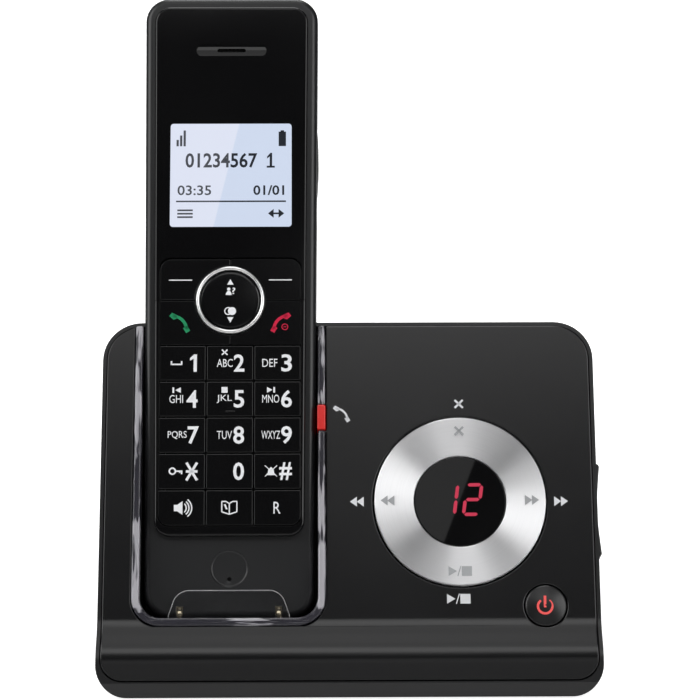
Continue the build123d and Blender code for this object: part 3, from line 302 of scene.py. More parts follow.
def plastic(name, dark, light, roughness, wander=0.04, grain=0.06, grain_size=0.3, gloss=0.5):
    """Moulded plastic: two near colours in clouds, a roughness that wanders, a fine texture."""
    material = noisy(name, dark, light, 45.0, 3.0, (roughness - wander, roughness + wander), 0.35, 0.65,
                     Specular_IOR_Level=gloss)
    tree = material.node_tree
    spark = add(tree, "TexNoise", add(tree, "TexCoord").outputs["Object"], Scale=1000.0 / grain_size,
                Detail=2.0)
    fill(tree.nodes["Principled BSDF"],
         Normal=add(tree, "Bump", Strength=grain, Distance=0.00004, Height=spark))
    return material


def dress(name, piece, material, body, slot, *nodes):
    """Gives a piece its name, material and body, and hides the CAD nodes that it stands for; slot is not
    used.
    """
    piece.name = name
    piece.data.materials.clear()
    piece.data.materials.append(material)
    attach(piece, body)
    if nodes:
        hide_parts(*nodes)


front_path = [up_slope(apron_top, apron_tilt, -20), apron_top, hollow, up_slope(crease, panel_tilt, 110)]
cover_high, cover_side = panel_length - cover_rim, base_side - cover_rim
cover = side_on(front_slab(front_path, 0, cover_skirt, cover_bottom, cover_high, cover_side, 6.0, 9.7))
cover_room = front_slab(front_path, cover_wall, cover_skirt + 2, cover_bottom + cover_wall,
                        cover_high - cover_wall, cover_side - cover_wall, 2.5, 7.7)
cut(cover, side_on(cover_room),
    on_panel(block(cradle_x - opening_half, -1.05, cradle_x + opening_half, 120, -12, 12, 8, 14, (-1,))),
    on_panel(post(dial_x, dial_y, -12, 6, 24.25, 160)),
    on_panel(post(power_x, power_y, -12, 6, 5.95, 80)),
    on_panel(block(cradle_x + trim_inside, light_low, cradle_x + 26.9, light_high, -12, 12)))
soften(cover, 0.45, 4, hold=False)
base_black = plastic("base_black_satin", (0.0042, 0.0042, 0.0046), (0.0052, 0.0052, 0.0056), 0.205,
                     0.015, 0.04, 0.25)
dress("top_cover", cover, base_black, "base", "base_shell", "base_top_cover")

# ---- dial cup ----
# The round cup that the cover forms below the dial, with a tube up its middle for the window.
# It is moulded in one with the cover, in the same black plastic, and holds the gimbal's pins.

cup_floor, cup_wall = -5.8, 1.6


def turned(x, y, outline, sides=96, closed=True):
    """A turned piece: a circle drawn out ring by ring through pairs of radius and height."""
    radius, height = outline[0]
    bpy.ops.mesh.primitive_circle_add(vertices=sides, radius=radius, location=(x, y, height))
    piece = bpy.context.object
    opened(piece)
    for (ra, ha), (rb, hb) in zip(outline, outline[1:] + (outline[:1] if closed else [])):
        bpy.ops.mesh.extrude_region_move(TRANSFORM_OT_translate={"value": (0, 0, hb - ha)})
        bpy.ops.transform.resize(value=(rb / ra, rb / ra, 1), center_override=(x, y, hb))
    return settle(closed_solid(piece, 0.004))


cup_outline = [(25.85, -1.6), (24.25, -1.6), (24.25, cup_floor), (12.45, cup_floor), (12.45, -1.2),
               (10.85, -1.2), (10.85, cup_floor - cup_wall), (25.85, cup_floor - cup_wall)]
cup = soften(on_panel(turned(dial_x, dial_y, cup_outline, 128)), 0.2, 2)
cup_black = plastic("cup_black", (0.004, 0.004, 0.0045), (0.006, 0.006, 0.0065), 0.5)
dress("dial_cup", cup, cup_black, "base", "base_shell", "base_top_cover")

# ---- bottom case ----
# The glossy black tray that forms the lip, the side walls, the sloping roof, the back and the
# floor of the base. It is one moulding with a plinth below, which carries the feet.

case_rim_drop, case_bottom, case_back, case_wall = 0.9, -20.45, 100.0, 2.6
floor_low, floor_top = 0.8, 3.0
case_path = [(0.0, -9.0), (0.0, 5.2)] + [sunk(point, case_rim_drop) for point in front_path[1:]]
pocket_gap = 0.25
rocker_across, rocker_long, rocker_up, rocker_deep = 6.0, 26.6, 33.0, -10.0
rocker_gap = 0.3
socket_up, line_x, power_socket_x, socket_from, socket_to = 12.0, 12.0, 34.0, 94, 106
plinth_side, plinth_in, plinth_low, plinth_top = 50.2, 2.5, 0.35, 2.0
foot_spots = [(x, y) for x in (-42.7, 42.7) for y in (lip_y + 13, lip_y + 87)]
screw_spots = [(-63.3, lip_y + 12), (63.3, lip_y + 12), (-63.3, lip_y + 45), (-2.2, lip_y + 45)]
speaker_x, speaker_y, speaker_radius, slot_step = 38.2, lip_y + 62, 14.0, 3.2


def tray(piece, half, low, back, roll, back_roll=0):
    """Cuts a slab off above the table and at the back, and rolls its two lower edges under."""
    cut_off(piece, (0, low, 0), (0, -1, 0))
    cut_off(piece, (back, 0, 0), (1, 0, 0))
    if back_roll:
        round_edges(piece, lambda a, b: max(abs(a.x - back), abs(b.x - back)) < 0.01, back_roll, 6)
    corners = [(-half, low), (half, low), (half, 160), (-half, 160)]
    trough = drawn(rounded(corners, [roll, roll, 0, 0], 12), -30, 130)
    settle(trough, Matrix(((0, 0, 1, 0), (0, 1, 0, 0), (-1, 0, 0, 0), (0, 0, 0, 1))))
    return combine(piece, trough, "INTERSECT")


def upright(piece):
    """Brings a piece made in millimetres, as it stands, to its size in metres."""
    piece.scale = (MM, MM, MM)
    return settle(piece)


def at_rocker(piece):
    """Stands a piece made flat, x out of the side wall and y up, at the volume rocker's pivot."""
    pivot = Matrix.Translation((base_side, rocker_up, rocker_deep))
    return settle(piece, panel_place @ Matrix.Scale(MM, 4) @ pivot)


case = front_slab(case_path, 0, 150, case_bottom, panel_length, base_side, 8.5, 11)
case = side_on(tray(case, base_side, floor_low, case_back, 8.2, 4.5))
soften(case, 0.95, 4)
pocket = front_slab(front_path, -20, cover_skirt, cover_bottom - pocket_gap, cover_high + pocket_gap,
                    cover_side + pocket_gap, 6.25, 9.95)
cut(case, side_on(pocket))
soften(case, 0.3, 3, 50)
case_room = front_slab(front_path, cover_skirt - 1, 150, case_bottom + case_wall, panel_length - case_wall,
                       base_side - case_wall, 5.9, 8.4)
cut(case, side_on(tray(case_room, base_side - case_wall, floor_top, case_back - case_wall, 6.0)))
plinth = block(-plinth_side, lip_y + plinth_in, plinth_side, lip_y + case_back - plinth_in, plinth_low,
               plinth_top, 8, 8)
combine(case, upright(plinth), "UNION")
cut(case, at_rocker(block(-4, -rocker_long / 2 - rocker_gap, 5, rocker_long / 2 + rocker_gap,
                          -rocker_across / 2 - rocker_gap, rocker_across / 2 + rocker_gap)))
for middle, half_x, half_z in ((line_x, 6.9, 6.2), (power_socket_x, 4.9, 5.7)):
    cut(case, upright(block(middle - half_x, lip_y + socket_from, middle + half_x, lip_y + socket_to,
                            socket_up - half_z, socket_up + half_z)))
for spots, radius, depth in ((foot_spots, 5.1, 1.6), (screw_spots, 2.9, 2.0), (screw_spots, 1.5, 4.0)):
    for x, y in spots:
        cut(case, upright(post(x, y, -1, depth, radius, 40)))
for i in range(-4, 5):
    half = (speaker_radius ** 2 - (slot_step * i) ** 2) ** 0.5
    cut(case, upright(centred(speaker_x + slot_step * i, speaker_y, 0.7, half, -1, 4)))
case_black = plastic("case_black_gloss", (0.006, 0.006, 0.0066), (0.0075, 0.0075, 0.0082), 0.3, 0.03,
                     0.03, 0.2)
dress("bottom_case", case, case_black, "base", "case_shell", "base_bottom_case")

# ---- feet and case screws ----
# Four soft rubber pads pushed into pockets of the plinth, with a ribbed sole, and four
# cross-headed steel screws sunk in recesses, which hold the cover down on the case.


def joined(pieces):
    """Joins pieces into the first of them."""
    only(pieces[0])
    for piece in pieces[1:]:
        piece.select_set(True)
    bpy.ops.object.join()
    return pieces[0]


def copy_of(piece, across, along):
    """A copy of a piece, with a mesh of its own, moved aside."""
    only(piece)
    bpy.ops.object.duplicate(linked=False)
    bpy.context.object.location = (across, along, 0)
    return settle(bpy.context.object)


def at_spots(piece, spots):
    """A piece made at the first of some spots, joined with a copy at each of the others."""
    first_x, first_y = spots[0]
    return joined([piece] + [copy_of(piece, (x - first_x) * MM, (y - first_y) * MM) for x, y in spots[1:]])


rubber = plastic("foot_rubber", (0.012, 0.012, 0.012), (0.02, 0.02, 0.02), 0.8, 0.08, 0.3, 0.4, 0.3)
foot_outline = [(0.002, 0.0), (1.6, 0.0), (1.9, 0.3), (2.4, 0.3), (2.7, 0.0), (4.6, 0.0), (5.0, 0.4),
                (5.0, 1.6), (0.002, 1.6)]
feet = at_spots(upright(turned(*foot_spots[0], foot_outline, 48, False)), foot_spots)
dress("rubber_feet", soften(feet, 0.12, 2, 25), rubber, "base", "rubber", "rubber_feet")

steel = noisy("screw_steel", (0.42, 0.42, 0.43), (0.58, 0.58, 0.6), 900.0, 4.0, (0.25, 0.45), Metallic=1.0)


def crosshead(x, y, low, high, radius, shank, shank_end):
    """A round-headed screw with a cross recess; the head looks down the negative axis."""
    head = turned(x, y, [(0.002, low), (radius - 0.5, low), (radius, low + 0.45), (radius, high),
                         (shank, high), (shank, shank_end), (0.002, shank_end)], 40, False)
    slots = [centred(x, y, across, along, low - 1, low + 0.6)
             for across, along in ((0.32, radius * 0.62), (radius * 0.62, 0.32))]
    return cut(head, *slots)


screws = at_spots(upright(crosshead(*screw_spots[0], 0.9, 1.9, 2.4, 1.2, 10.8)), screw_spots)
dress("case_screws", smooth(screws, 35), steel, "base", "steel", "base_screws")

# ---- cradle well and charging contacts ----
# The matt black cup behind the trim in which the handset stands, and the two sprung strips of
# gold-plated bronze that come up through its floor to charge the handset.

handset_tilt, handset_foot = 60.5, (14.496, 18.498)
contact_side = 13.7


def finish_nodes(material, *nodes):
    """Gives CAD nodes their material."""
    for node in nodes:
        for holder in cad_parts[node].material_slots:
            holder.material = material


def on_handset(piece):
    """Lays a piece made flat, in millimetres, on the handset; its origin is the chin's end."""
    foot = Matrix.Translation((cradle_x * MM, (lip_y + handset_foot[0]) * MM, handset_foot[1] * MM))
    return settle(piece, foot @ Matrix.Rotation(radians(handset_tilt), 4, "X") @ Matrix.Scale(MM, 4))


well_black = plastic("well_black", (0.004, 0.004, 0.0045), (0.0055, 0.0055, 0.006), 0.55, 0.05, 0.1, 0.3)
finish_nodes(well_black, "cradle_well")
gold = noisy("contact_gold", (0.42, 0.36, 0.25), (0.55, 0.48, 0.35), 1500.0, 3.0, (0.128, 0.192),
             Metallic=1.0)
strip_line = [(-4.5, -3.0), (0.6, -3.0), (1.8, -3.3), (2.8, -2.9), (2.75, -2.55), (1.8, -2.9), (0.6, -2.6),
              (-4.5, -2.6)]
strips = joined([settle(drawn(strip_line, side - 0.5, side + 0.5), as_side_view)
                 for side in (-contact_side, contact_side)])
dress("base_contact_strips", soften(on_handset(strips), 0.06, 2), gold, "base", "gold_contact",
      "base_charge_contacts")

# ---- clear cradle trim ----
# A U-shaped lining of clear acrylic round the cradle, with rounded front edges, which snaps into
# the cover, and the low clear tab at its foot that stands in front of the handset's chin.

trim_low, trim_proud, trim_deep = -0.9, 0.8, -4.4
trim = block(cradle_x - trim_half, trim_low, cradle_x + trim_half, 85, trim_deep, trim_proud, 8, 16, (-1,))
cut(trim, block(cradle_x - trim_inside, trim_low + 2.3, cradle_x + trim_inside, 120, -9, 9, 5.95, 16, (-1,)),
    block(cradle_x + 20, light_low, cradle_x + 40, light_high, -9, 9))
trim = soften(on_panel(trim), 0.6, 4)
# The trim's colour is painted light and shade: a pale lavender tone whose clouds and streaks paint the glints
# and reflections of clear acrylic.
acrylic, tree, shader, place = new_material("trim_acrylic")
flat = add(tree, "Mapping", place, vector_type="TEXTURE", Rotation=(radians(panel_tilt), 0, 0),
           Location=(cradle_x * MM, (lip_y + crease[0]) * MM, crease[1] * MM))
streaks = [add(tree, "TexNoise", add(tree, "Mapping", flat, Scale=stretch), Scale=1.0, Detail=1.5,
               Distortion=0.5) for stretch in ((900, 90, 500), (70, 1300, 500))]
up_panel = add(tree, "SeparateXYZ", flat).outputs["Y"]
foot = add(tree, "MapRange", up_panel, 0.0045, 0.0015)
# Streaks along the bars and along the foot: a fine relief of flow lines, and painted glints in the colour.
flow_lines_and_painted_glints = add(tree, "Mix", foot, None, *streaks)
long_waves = add(tree, "TexNoise", place, Scale=110.0, Detail=1.0)
waves = add(tree, "Math", long_waves, flow_lines_and_painted_glints, operation="ADD")
# Painted shade: the foot is darker, where the black well would show through the clear plastic.
painted_dark_foot = add(tree, "Math", foot, -0.36, waves, operation="MULTIPLY_ADD")
# Painted light: lighter low on the bars, darker higher up.
bend = add(tree, "MapRange", up_panel, 0.011, 0.022, 0.1, -0.12)
shaded = add(tree, "Math", bend, painted_dark_foot, operation="ADD")
fill(shader, Base_Color=tones(tree, shaded, (0.07, 0.068, 0.085), (0.88, 0.86, 0.92), 0.88, 1.0),
     Normal=add(tree, "Bump", Strength=0.35, Distance=0.0003, Height=flow_lines_and_painted_glints),
     Roughness=0.06, Transmission_Weight=0.55, IOR=1.49)
dress("cradle_trim", trim, acrylic, "base", "clear_trim", "cradle_trim")

tab_half, tab_high, tab_slope, tab_back, tab_front = 16.75, 7.4, 2.4, -1.9, -0.6
tab_face = [(-tab_half, -1.1), (tab_half, -1.1), (tab_half, 0.5), (tab_half - tab_slope, tab_high),
            (tab_slope - tab_half, tab_high), (-tab_half, 0.5)]
tab = drawn(tab_face, tab_back, tab_front)
upper = lambda a, b: abs(a.z - b.z) > 0.1 and max(abs(a.y - tab_high), abs(b.y - tab_high)) < 0.01
round_edges(tab, upper, 3.2, 10)
tab = soften(on_handset(tab), 0.3, 3)
# The tab's edge faces are frosted, and their pale grey colour also paints the glow that clear acrylic's edges
# show.
clear_tab, frosted_edge_glow = [noisy(name, tint, (1, 1, 1), 220.0, 3.0, rough, Transmission_Weight=through, IOR=1.49)
                      for name, tint, rough, through in
                      (("tab_acrylic", (0.95, 0.96, 0.97), (0.012, 0.028), 1.0),
                       ("tab_edge_frosted_glow", (0.6, 0.6, 0.62), (0.3, 0.7), 0.35))]
dress("cradle_trim_tab", tab, clear_tab, "base", "clear_trim", "cradle_trim")
tab.data.materials.append(frosted_edge_glow)
facing = Matrix.Rotation(radians(handset_tilt), 3, "X").col[2]
for face in tab.data.polygons:
    face.material_index = int(abs(face.normal.dot(facing)) < 0.93)

# ---- in-use light ----
# A small light pipe of translucent red plastic in a gap of the trim's right bar. It stands a
# little proud, with softened edges, and glows while the line is in use.

lamp = block(cradle_x + trim_inside - 0.2, light_low + 0.1, cradle_x + trim_half + 0.1, light_high - 0.1,
             trim_deep, trim_proud + 0.3)
red_pipe = noisy("light_pipe_red", (0.4, 0.007, 0.006), (0.68, 0.015, 0.012), 260.0, 2.0, 0.25,
                 Emission_Color=(1, 0.02, 0.01, 1), Emission_Strength=0.07)
dress("in_use_light", soften(on_panel(lamp), 0.45, 4), red_pipe, "base", "red_light", "in_use_light")

# ---- dial ring ----
# The four-way dial: a shallow dished ring of aluminium, spun and brushed in circles, with a
# polished rolled edge. Two lugs below hang it on the gimbal, and it rocks towards each mark.

ring_inner, ring_outer, ring_low_top, ring_high_top = 12.9, 23.8, 0.3, 0.9
map_reach = 0.025
dial = turned(dial_x, dial_y, [(ring_inner, -1.6), (ring_outer, -1.6), (ring_outer, ring_high_top),
                               (ring_inner, ring_low_top)], 240)
for side in (-1, 1):
    dial = joined([dial, block(dial_x - 2.2, dial_y + side * 22.3, dial_x + 2.2, dial_y + side * 23.6,
                               -4.3, -1.5)])
dial = soften(on_panel(dial), 0.32, 4, 40)
round_map = (dial.data.uv_layers.active or dial.data.uv_layers.new(name="round")).name
turn_back = panel_place.inverted()
flat_points = [turn_back @ vertex.co for vertex in dial.data.vertices]
for face in dial.data.polygons:
    middle = turn_back @ face.center
    middle_turn = atan2(middle.y - dial_y * MM, middle.x - dial_x * MM)
    for i, vertex in zip(face.loop_indices, face.vertices):
        across, along = flat_points[vertex].x - dial_x * MM, flat_points[vertex].y - dial_y * MM
        turn = atan2(along, across)
        turn += 2 * pi * round((middle_turn - turn) / (2 * pi))
        dial.data.uv_layers[round_map].data[i].uv = (turn / (2 * pi), hypot(across, along) / map_reach)
brushed, tree, shader, place = new_material("dial_brushed_silver")
stretched = add(tree, "Mapping", add(tree, "UVMap", uv_map=round_map), Scale=(3.0, 260.0, 1.0))
lines = add(tree, "TexNoise", stretched, Scale=1.0, Detail=6.0, Roughness=0.7)
fill(shader, Base_Color=tones(tree, lines, (0.74, 0.74, 0.75), (0.96, 0.96, 0.97)),
     Roughness=add(tree, "MapRange", lines, 0.0, 1.0, 0.36, 0.46),
     Normal=add(tree, "Bump", Strength=0.12, Distance=0.00003, Height=lines),
     Tangent=add(tree, "Tangent", direction_type="UV_MAP", uv_map=round_map),
     Metallic=1.0, Anisotropic=1.0, Anisotropic_Rotation=0.25)
dress("dial_ring", dial, brushed, "dial", "dial_silver", "dial_ring")

# ---- gimbal, dome mat and what lies behind the panel ----
# The acetal ring that carries the dial on four pins, and the silicone mat with a snap dome under
# each quarter. The circuit board, the loudspeaker and the sockets show only from below or behind.

acetal = plastic("gimbal_acetal", (0.02, 0.02, 0.021), (0.028, 0.028, 0.03), 0.4)
silicone = plastic("dome_silicone", (0.03, 0.03, 0.032), (0.045, 0.045, 0.048), 0.7, 0.05, 0.15)
board_green = plastic("board_green", (0.008, 0.07, 0.025), (0.015, 0.11, 0.04), 0.35, 0.05, 0.1, 0.5)
paper_cone = plastic("speaker_cone", (0.01, 0.01, 0.01), (0.02, 0.02, 0.02), 0.75, 0.05, 0.4, 0.6)
socket_black = plastic("socket_black", (0.006, 0.006, 0.006), (0.012, 0.012, 0.012), 0.5)
finish_nodes(acetal, "dial_gimbal")
finish_nodes(silicone, "dial_dome_mat")
finish_nodes(board_green, "base_circuit_board")
finish_nodes(paper_cone, "base_speaker")
finish_nodes(socket_black, "line_socket", "power_socket")

# ---- message window and digits ----
# A disc of smoked acrylic pressed on the cup's tube, polished, with a fine bevel, and behind it
# the two red seven-segment digits that count the messages, slanted as such displays are.

digit_slant, digit_half_wide, digit_half_high = tan(radians(7.5)), 2.05, 4.2
stroke_wide, stroke_gap = 0.95, 0.16
digit_left, digit_right, digit_up = -3.15, 3.5, 0.45
window = turned(dial_x, dial_y, [(0.002, -1.2), (12.6, -1.2), (12.6, 0.2), (0.002, 0.2)], 160, False)
smoked = plastic("window_smoked", (0.0022, 0.0022, 0.0024), (0.003, 0.003, 0.0032), 0.018, 0.004, 0.0,
                 0.3, 0.5)
dress("dial_window", soften(on_panel(window), 0.1, 2), smoked, "base", "smoked_window", "dial_window")


def patch(points, at):
    """A thin filled outline; at is its middle, its underside and its top."""
    x, y, low, high = at
    return drawn([(x + px, y + py) for px, py in points], low, high)


def digit(bars, at):
    """A digit of pointed bars, slanted, each drawn from end to end."""
    pieces = []
    for x0, y0, x1, y1 in bars:
        long = hypot(x1 - x0, y1 - y0)
        ux, uy = (x1 - x0) / long, (y1 - y0) / long
        x0, y0, x1, y1 = [end + way * stroke_gap for end, way in ((x0, ux), (y0, uy), (x1, -ux), (y1, -uy))]
        ux, uy = ux * stroke_wide / 2, uy * stroke_wide / 2
        points = [(x0, y0), (x0 + ux + uy, y0 + uy - ux), (x1 - ux + uy, y1 - uy - ux), (x1, y1),
                  (x1 - ux - uy, y1 - uy + ux), (x0 + ux - uy, y0 + uy + ux)]
        pieces.append(patch([(x + digit_slant * y, y) for x, y in points], at))
    return joined(pieces)


def lit(name, colour, strength):
    """Something lit from behind: its colour, a little uneven, and its own glow."""
    return noisy(name, [part * 0.8 for part in colour], colour, 400.0, 1.0, 0.4,
                 Emission_Color=(*colour, 1), Emission_Strength=strength)


w, h = digit_half_wide, digit_half_high
top, middle, bottom = [(-w, y, w, y) for y in (h, 0, -h)]
upper_right, lower_right, lower_left = (w, 0, w, h), (w, -h, w, 0), (-w, -h, -w, 0)
digits = on_panel(joined([
    digit(bars, (dial_x + x, dial_y + digit_up, 0.2, 0.23))
    for bars, x in (((upper_right, lower_right), digit_left),
                    ((top, upper_right, middle, lower_left, bottom), digit_right))
]))
digit_red = lit("digit_red", (0.43, 0.016, 0.05), 0.5)
dress("message_digits", digits, digit_red, "base", "red_light")
finish_nodes(socket_black, "message_display")

# ---- power button ----
# A round domed key of black plastic, which passes through the cover and presses the switch on
# the board. Its mark is moulded through in clear red and lit from behind.

button_outline = [(0.002, -7.8), (1.8, -7.8), (1.8, -4.9), (3.0, -4.9), (3.0, -3.0), (5.65, -3.0),
                  (5.65, -0.1), (5.5, 0.08), (5.2, 0.2), (4.5, 0.38), (3.6, 0.6), (2.6, 0.79), (1.4, 0.94),
                  (0.002, 1.0)]
button = smooth(on_panel(turned(power_x, power_y, button_outline, 96, False)), 30)
button_black = plastic("button_black", (0.004, 0.004, 0.0044), (0.0055, 0.0055, 0.006), 0.33, 0.02, 0.02,
                       0.2)
dress("power_button", button, button_black, "power_button", "button_black", "power_button")


def arc(inner, outer, start, end, at, steps=28):
    """A flat piece of a ring between two angles."""
    turns = [radians(start + (end - start) * i / steps) for i in range(steps + 1)]
    return patch([(outer * cos(t), outer * sin(t)) for t in turns]
                 + [(inner * cos(t), inner * sin(t)) for t in reversed(turns)], at)


def plate(x0, y0, x1, y1, at, *corner):
    """A thin block; at is the point it is measured from, its underside and its top."""
    x, y, low, high = at
    return block(x + x0, y + y0, x + x1, y + y1, low, high, *corner)


mark_x, mark_y = power_x - 0.3, power_y - 0.35
power_mark = on_panel(joined([arc(1.65, 2.3, 125, 415, (mark_x, mark_y, 0.55, 0.93)),
                              plate(-0.36, -0.3, 0.36, 2.95, (mark_x, mark_y, 0.5, 0.99))]))
power_red = lit("power_red", (0.62, 0.07, 0.065), 0.55)
dress("power_mark", power_mark, power_red, "power_button", "button_black")

# ---- volume rocker ----
# A long saddle-shaped key in the right side wall, moulded in black plastic with a pin through
# it, with raised ends for louder and quieter that carry a plus and a minus.

rocker_inner_end, crest, waist = -5.8, 1.5, 0.5
half_rocker, half_saddle = rocker_long / 2, rocker_long / 2 - 0.8


def saddle(start, end, steps, proud=0.0):
    """Points along the rocker's hollow face, from one height to another."""
    heights = [start + (end - start) * i / steps for i in range(steps + 1)]
    return [(waist + (crest - waist) * abs(y / half_saddle) ** 1.4 + proud, y) for y in heights]


rocker = drawn([(rocker_inner_end, -half_rocker), (crest - 0.35, -half_rocker)]
               + saddle(-half_saddle, half_saddle, 16)
               + [(crest - 0.35, half_rocker), (rocker_inner_end, half_rocker)],
               -rocker_across / 2, rocker_across / 2)
rocker = soften(at_rocker(joined([rocker, post(-4.6, 0, -5, 5, 0.8, 32)])), 0.35, 3)
dress("volume_rocker", rocker, button_black, "volume_rocker", "button_black", "volume_rocker")

# ---- printed marks of the panel ----
# Near-white marks pad-printed on the cover and light grey ones on the dial: delete, back, forward,
# play and stop, and a small handset beside the light. Each lies a few hundredths proud.

print_depth, print_proud = 0.02, 0.03


def strokes(lines, wide, at):
    """Straight strokes of one width with square ends."""
    bars = []
    for x0, y0, x1, y1 in lines:
        long = hypot(x1 - x0, y1 - y0)
        ux, uy = (x1 - x0) / long * wide / 2, (y1 - y0) / long * wide / 2
        ends = (x0 + uy, y0 - ux), (x1 + uy, y1 - ux), (x1 - uy, y1 + ux), (x0 - uy, y0 + ux)
        bars.append(patch(ends, at))
    return joined(bars)


def mirrored(points, way):
    """An outline, or its mirror image where the way is -1."""
    return points if way > 0 else [(-x, y) for x, y in reversed(points)]


def cross_mark(at, half=1.15):
    return strokes([(-half, -half, half, half), (-half, half, half, -half)], 0.6, at)


def double_arrow(way, at):
    """Two solid arrowheads one behind the other, pointing right or left."""
    return joined([patch(mirrored([(x, -1.4), (x + 1.95, 0), (x, 1.4)], way), at) for x in (-1.95, -0.05)])


def play_stop(at):
    """A play triangle, a slash and a stop square."""
    return joined([patch([(-3.25, -1.35), (-0.95, 0), (-3.25, 1.35)], at),
                   strokes([(-0.7, -1.4, 0.15, 1.4)], 0.28, at), plate(0.4, -1.35, 3.2, 1.35, at)])


def receiver_mark(way, at, size=1.0, heavy=0.44):
    """A curved telephone receiver, its ear and mouth ends thicker than its grip."""
    x, y, low, high = at
    start, end = (3, 87) if way > 0 else (93, 177)
    grip = arc((4.07 - heavy) * size, (4.07 + heavy) * size, start, end,
               (x - way * 2.07 * size, y - 2.07 * size, low, high), 24)
    ear = [(-2.9, 2.0), (-1.75, 0.95), (-0.95, 1.15), (-0.75, 2.3), (-2.15, 2.95)]
    mouth = [(1.0, -1.5), (1.9, -2.96), (3.0, -2.25), (2.2, -0.85)]
    return joined([grip] + [patch(mirrored([(px * size, py * size) for px, py in part], way), at)
                            for part in (ear, mouth)])


def on_cover(x, y):
    return x, y, -print_depth, print_proud


def on_ring(x, y):
    """A place on the dished face of the dial."""
    reach = (hypot(x - dial_x, y - dial_y) - ring_inner) / (ring_outer - ring_inner)
    top = ring_low_top + reach * (ring_high_top - ring_low_top)
    return x, y, top - 0.3, top + 0.13


panel_marks = on_panel(joined([
    cross_mark(on_cover(31.0, 62.0)), double_arrow(-1, on_cover(2.2, 33.95)),
    double_arrow(1, on_cover(59.0, 33.9)), play_stop(on_cover(30.1, 6.5)),
    receiver_mark(1, on_cover(-1.95, 59.15), 0.83, 0.34),
]))
print_white = plastic("print_white", (0.68, 0.69, 0.71), (0.76, 0.77, 0.79), 0.5)
dress("panel_marks", panel_marks, print_white, "base", "base_shell")
ring_marks = on_panel(joined([
    cross_mark(on_ring(30.9, 54.0)), double_arrow(-1, on_ring(10.7, 34.1)),
    double_arrow(1, on_ring(50.9, 34.1)), play_stop(on_ring(30.6, 14.1)),
]))
print_grey = plastic("print_grey", (0.33, 0.34, 0.35), (0.4, 0.41, 0.42), 0.5)
dress("dial_marks", ring_marks, print_grey, "dial", "dial_silver")
volume_marks = at_rocker(joined([
    drawn(saddle(start, end, 8, 0.03) + saddle(end, start, 8, -0.3), -half, half)
    for start, end, half in ((9.1, 10.9, 0.18), (9.82, 10.18, 0.9), (-10.18, -9.82, 0.9))
]))
dress("volume_marks", volume_marks, print_white, "volume_rocker", "button_black")

# ---- handset housings ----
# Two black ABS half shells, screwed together from behind, which meet in a fine parting line along
# the sides. The front half carries the keypad, display and earpiece, and ends in a plain chin.

handset_long, low_half_wide, high_half_wide = 180.3, 23.6, 25.0
handset_back, handset_top_back, back_bend = -25.0, -18.5, 94.0
face_step, face_back, handset_wall, parting = 2.2, -4.0, 2.0, -12.5
seam, ring_radius, stem_end, stem_half, nav_stem_off, stem_hole_half = 89.4, 9.75, -4.9, 1.2, 5.6, 1.7
field_side, field_bottom, pad_top = 20.025, 25.1, 101.6
lcd_middle, lcd_half_wide, lcd_half_high = 126.05, 17.3, 15.25
earpiece = 163.4
clip_low, clip_high, notch_deep = 116.6, 144.6, 1.1
cell_low, cell_high = 22.0, 66.5
door_low, door_high, door_side, door_inner = 13.5, 75.0, 19.0, handset_back + 1.5
screw_side, screw_up = 15, 160
split_slope, split_from, split_to = -0.273, -0.0697, -0.0692


def handset_body(inset, front):
    """The closed handset, or the room inside it, as a side view crossed with a front view."""
    low, high = inset, handset_long - inset
    back, top_back = handset_back + inset, handset_top_back + inset
    long, deep = high - back_bend, top_back - back
    bend = (long * long + deep * deep) / (2 * deep)
    curve = [(back_bend + bend * sin(t), back + bend - bend * cos(t)) for t in
             [2 * atan2(deep, long) * i / 12 for i in range(13)]]
    profile = settle(drawn([(low, front), (low, back)] + curve + [(high, front)], -60, 60), as_side_view)
    low_half, high_half = low_half_wide - inset, high_half_wide - inset
    corners = [(-low_half, low), (low_half, low), (high_half, high), (-high_half, high)]
    return combine(drawn(rounded(corners, 7.0 - inset, 12), -40, 10), profile, "INTERSECT")


def round_rim(piece, way, width, steps):
    """Rounds the rim round the faces that look to the front (1) or to the back (-1)."""
    uses = {}
    for face in piece.data.polygons:
        if face.normal.z * way > 0.5:
            for key in face.edge_keys:
                uses[key] = uses.get(key, 0) + 1
    round_where(piece, lambda edge: uses.get(edge.key) == 1, width, steps)


body = handset_body(0, -face_step)
round_rim(body, -1, 5.0, 10)
round_rim(body, 1, 2.0, 6)
room = combine(handset_body(handset_wall, face_back), block(-40, -1, 40, 77, -40, -21.3), "DIFFERENCE")
clip_half = low_half_wide + (high_half_wide - low_half_wide) * (clip_low + clip_high) / 2 / handset_long
cut(body, *(block(side * (clip_half - notch_deep), clip_low - 0.3, side * (clip_half + 5), clip_high + 0.3,
                  -60, 1.6 + parting) for side in (-1, 1)))
rear = copy_of(body, 0, 0)
cut_off(body, (0, 0, parting), (0, 0, -1))
cut_off(rear, (0, 0, parting), (0, 0, 1))
rear_room = copy_of(room, 0, 0)
cut(body, room)
window_side = field_side - 2.0
opening = block(-window_side, field_bottom + 2, window_side, seam - 1.5, -10, 5)
combine(opening, block(-window_side, seam + 1.5, window_side, pad_top - 2, -10, 5), "UNION")
cut(opening, post(0, seam, -11, 6, ring_radius + 0.6))
cut(body, opening)
for side in (-1, 1):
    cut(body, centred(0, seam + side * nav_stem_off, stem_hole_half, stem_hole_half, -10, 5),
        block(side * (contact_side - 0.95), -1, side * (contact_side + 0.95), 3.1, -face_step - 1.5, 5))
dimple_outline = [(0.002, -0.5), (4.55, -0.5), (4.85, -0.42), (5.15, -0.15), (5.3, 0.05), (5.3, 3),
                  (0.002, 3)]
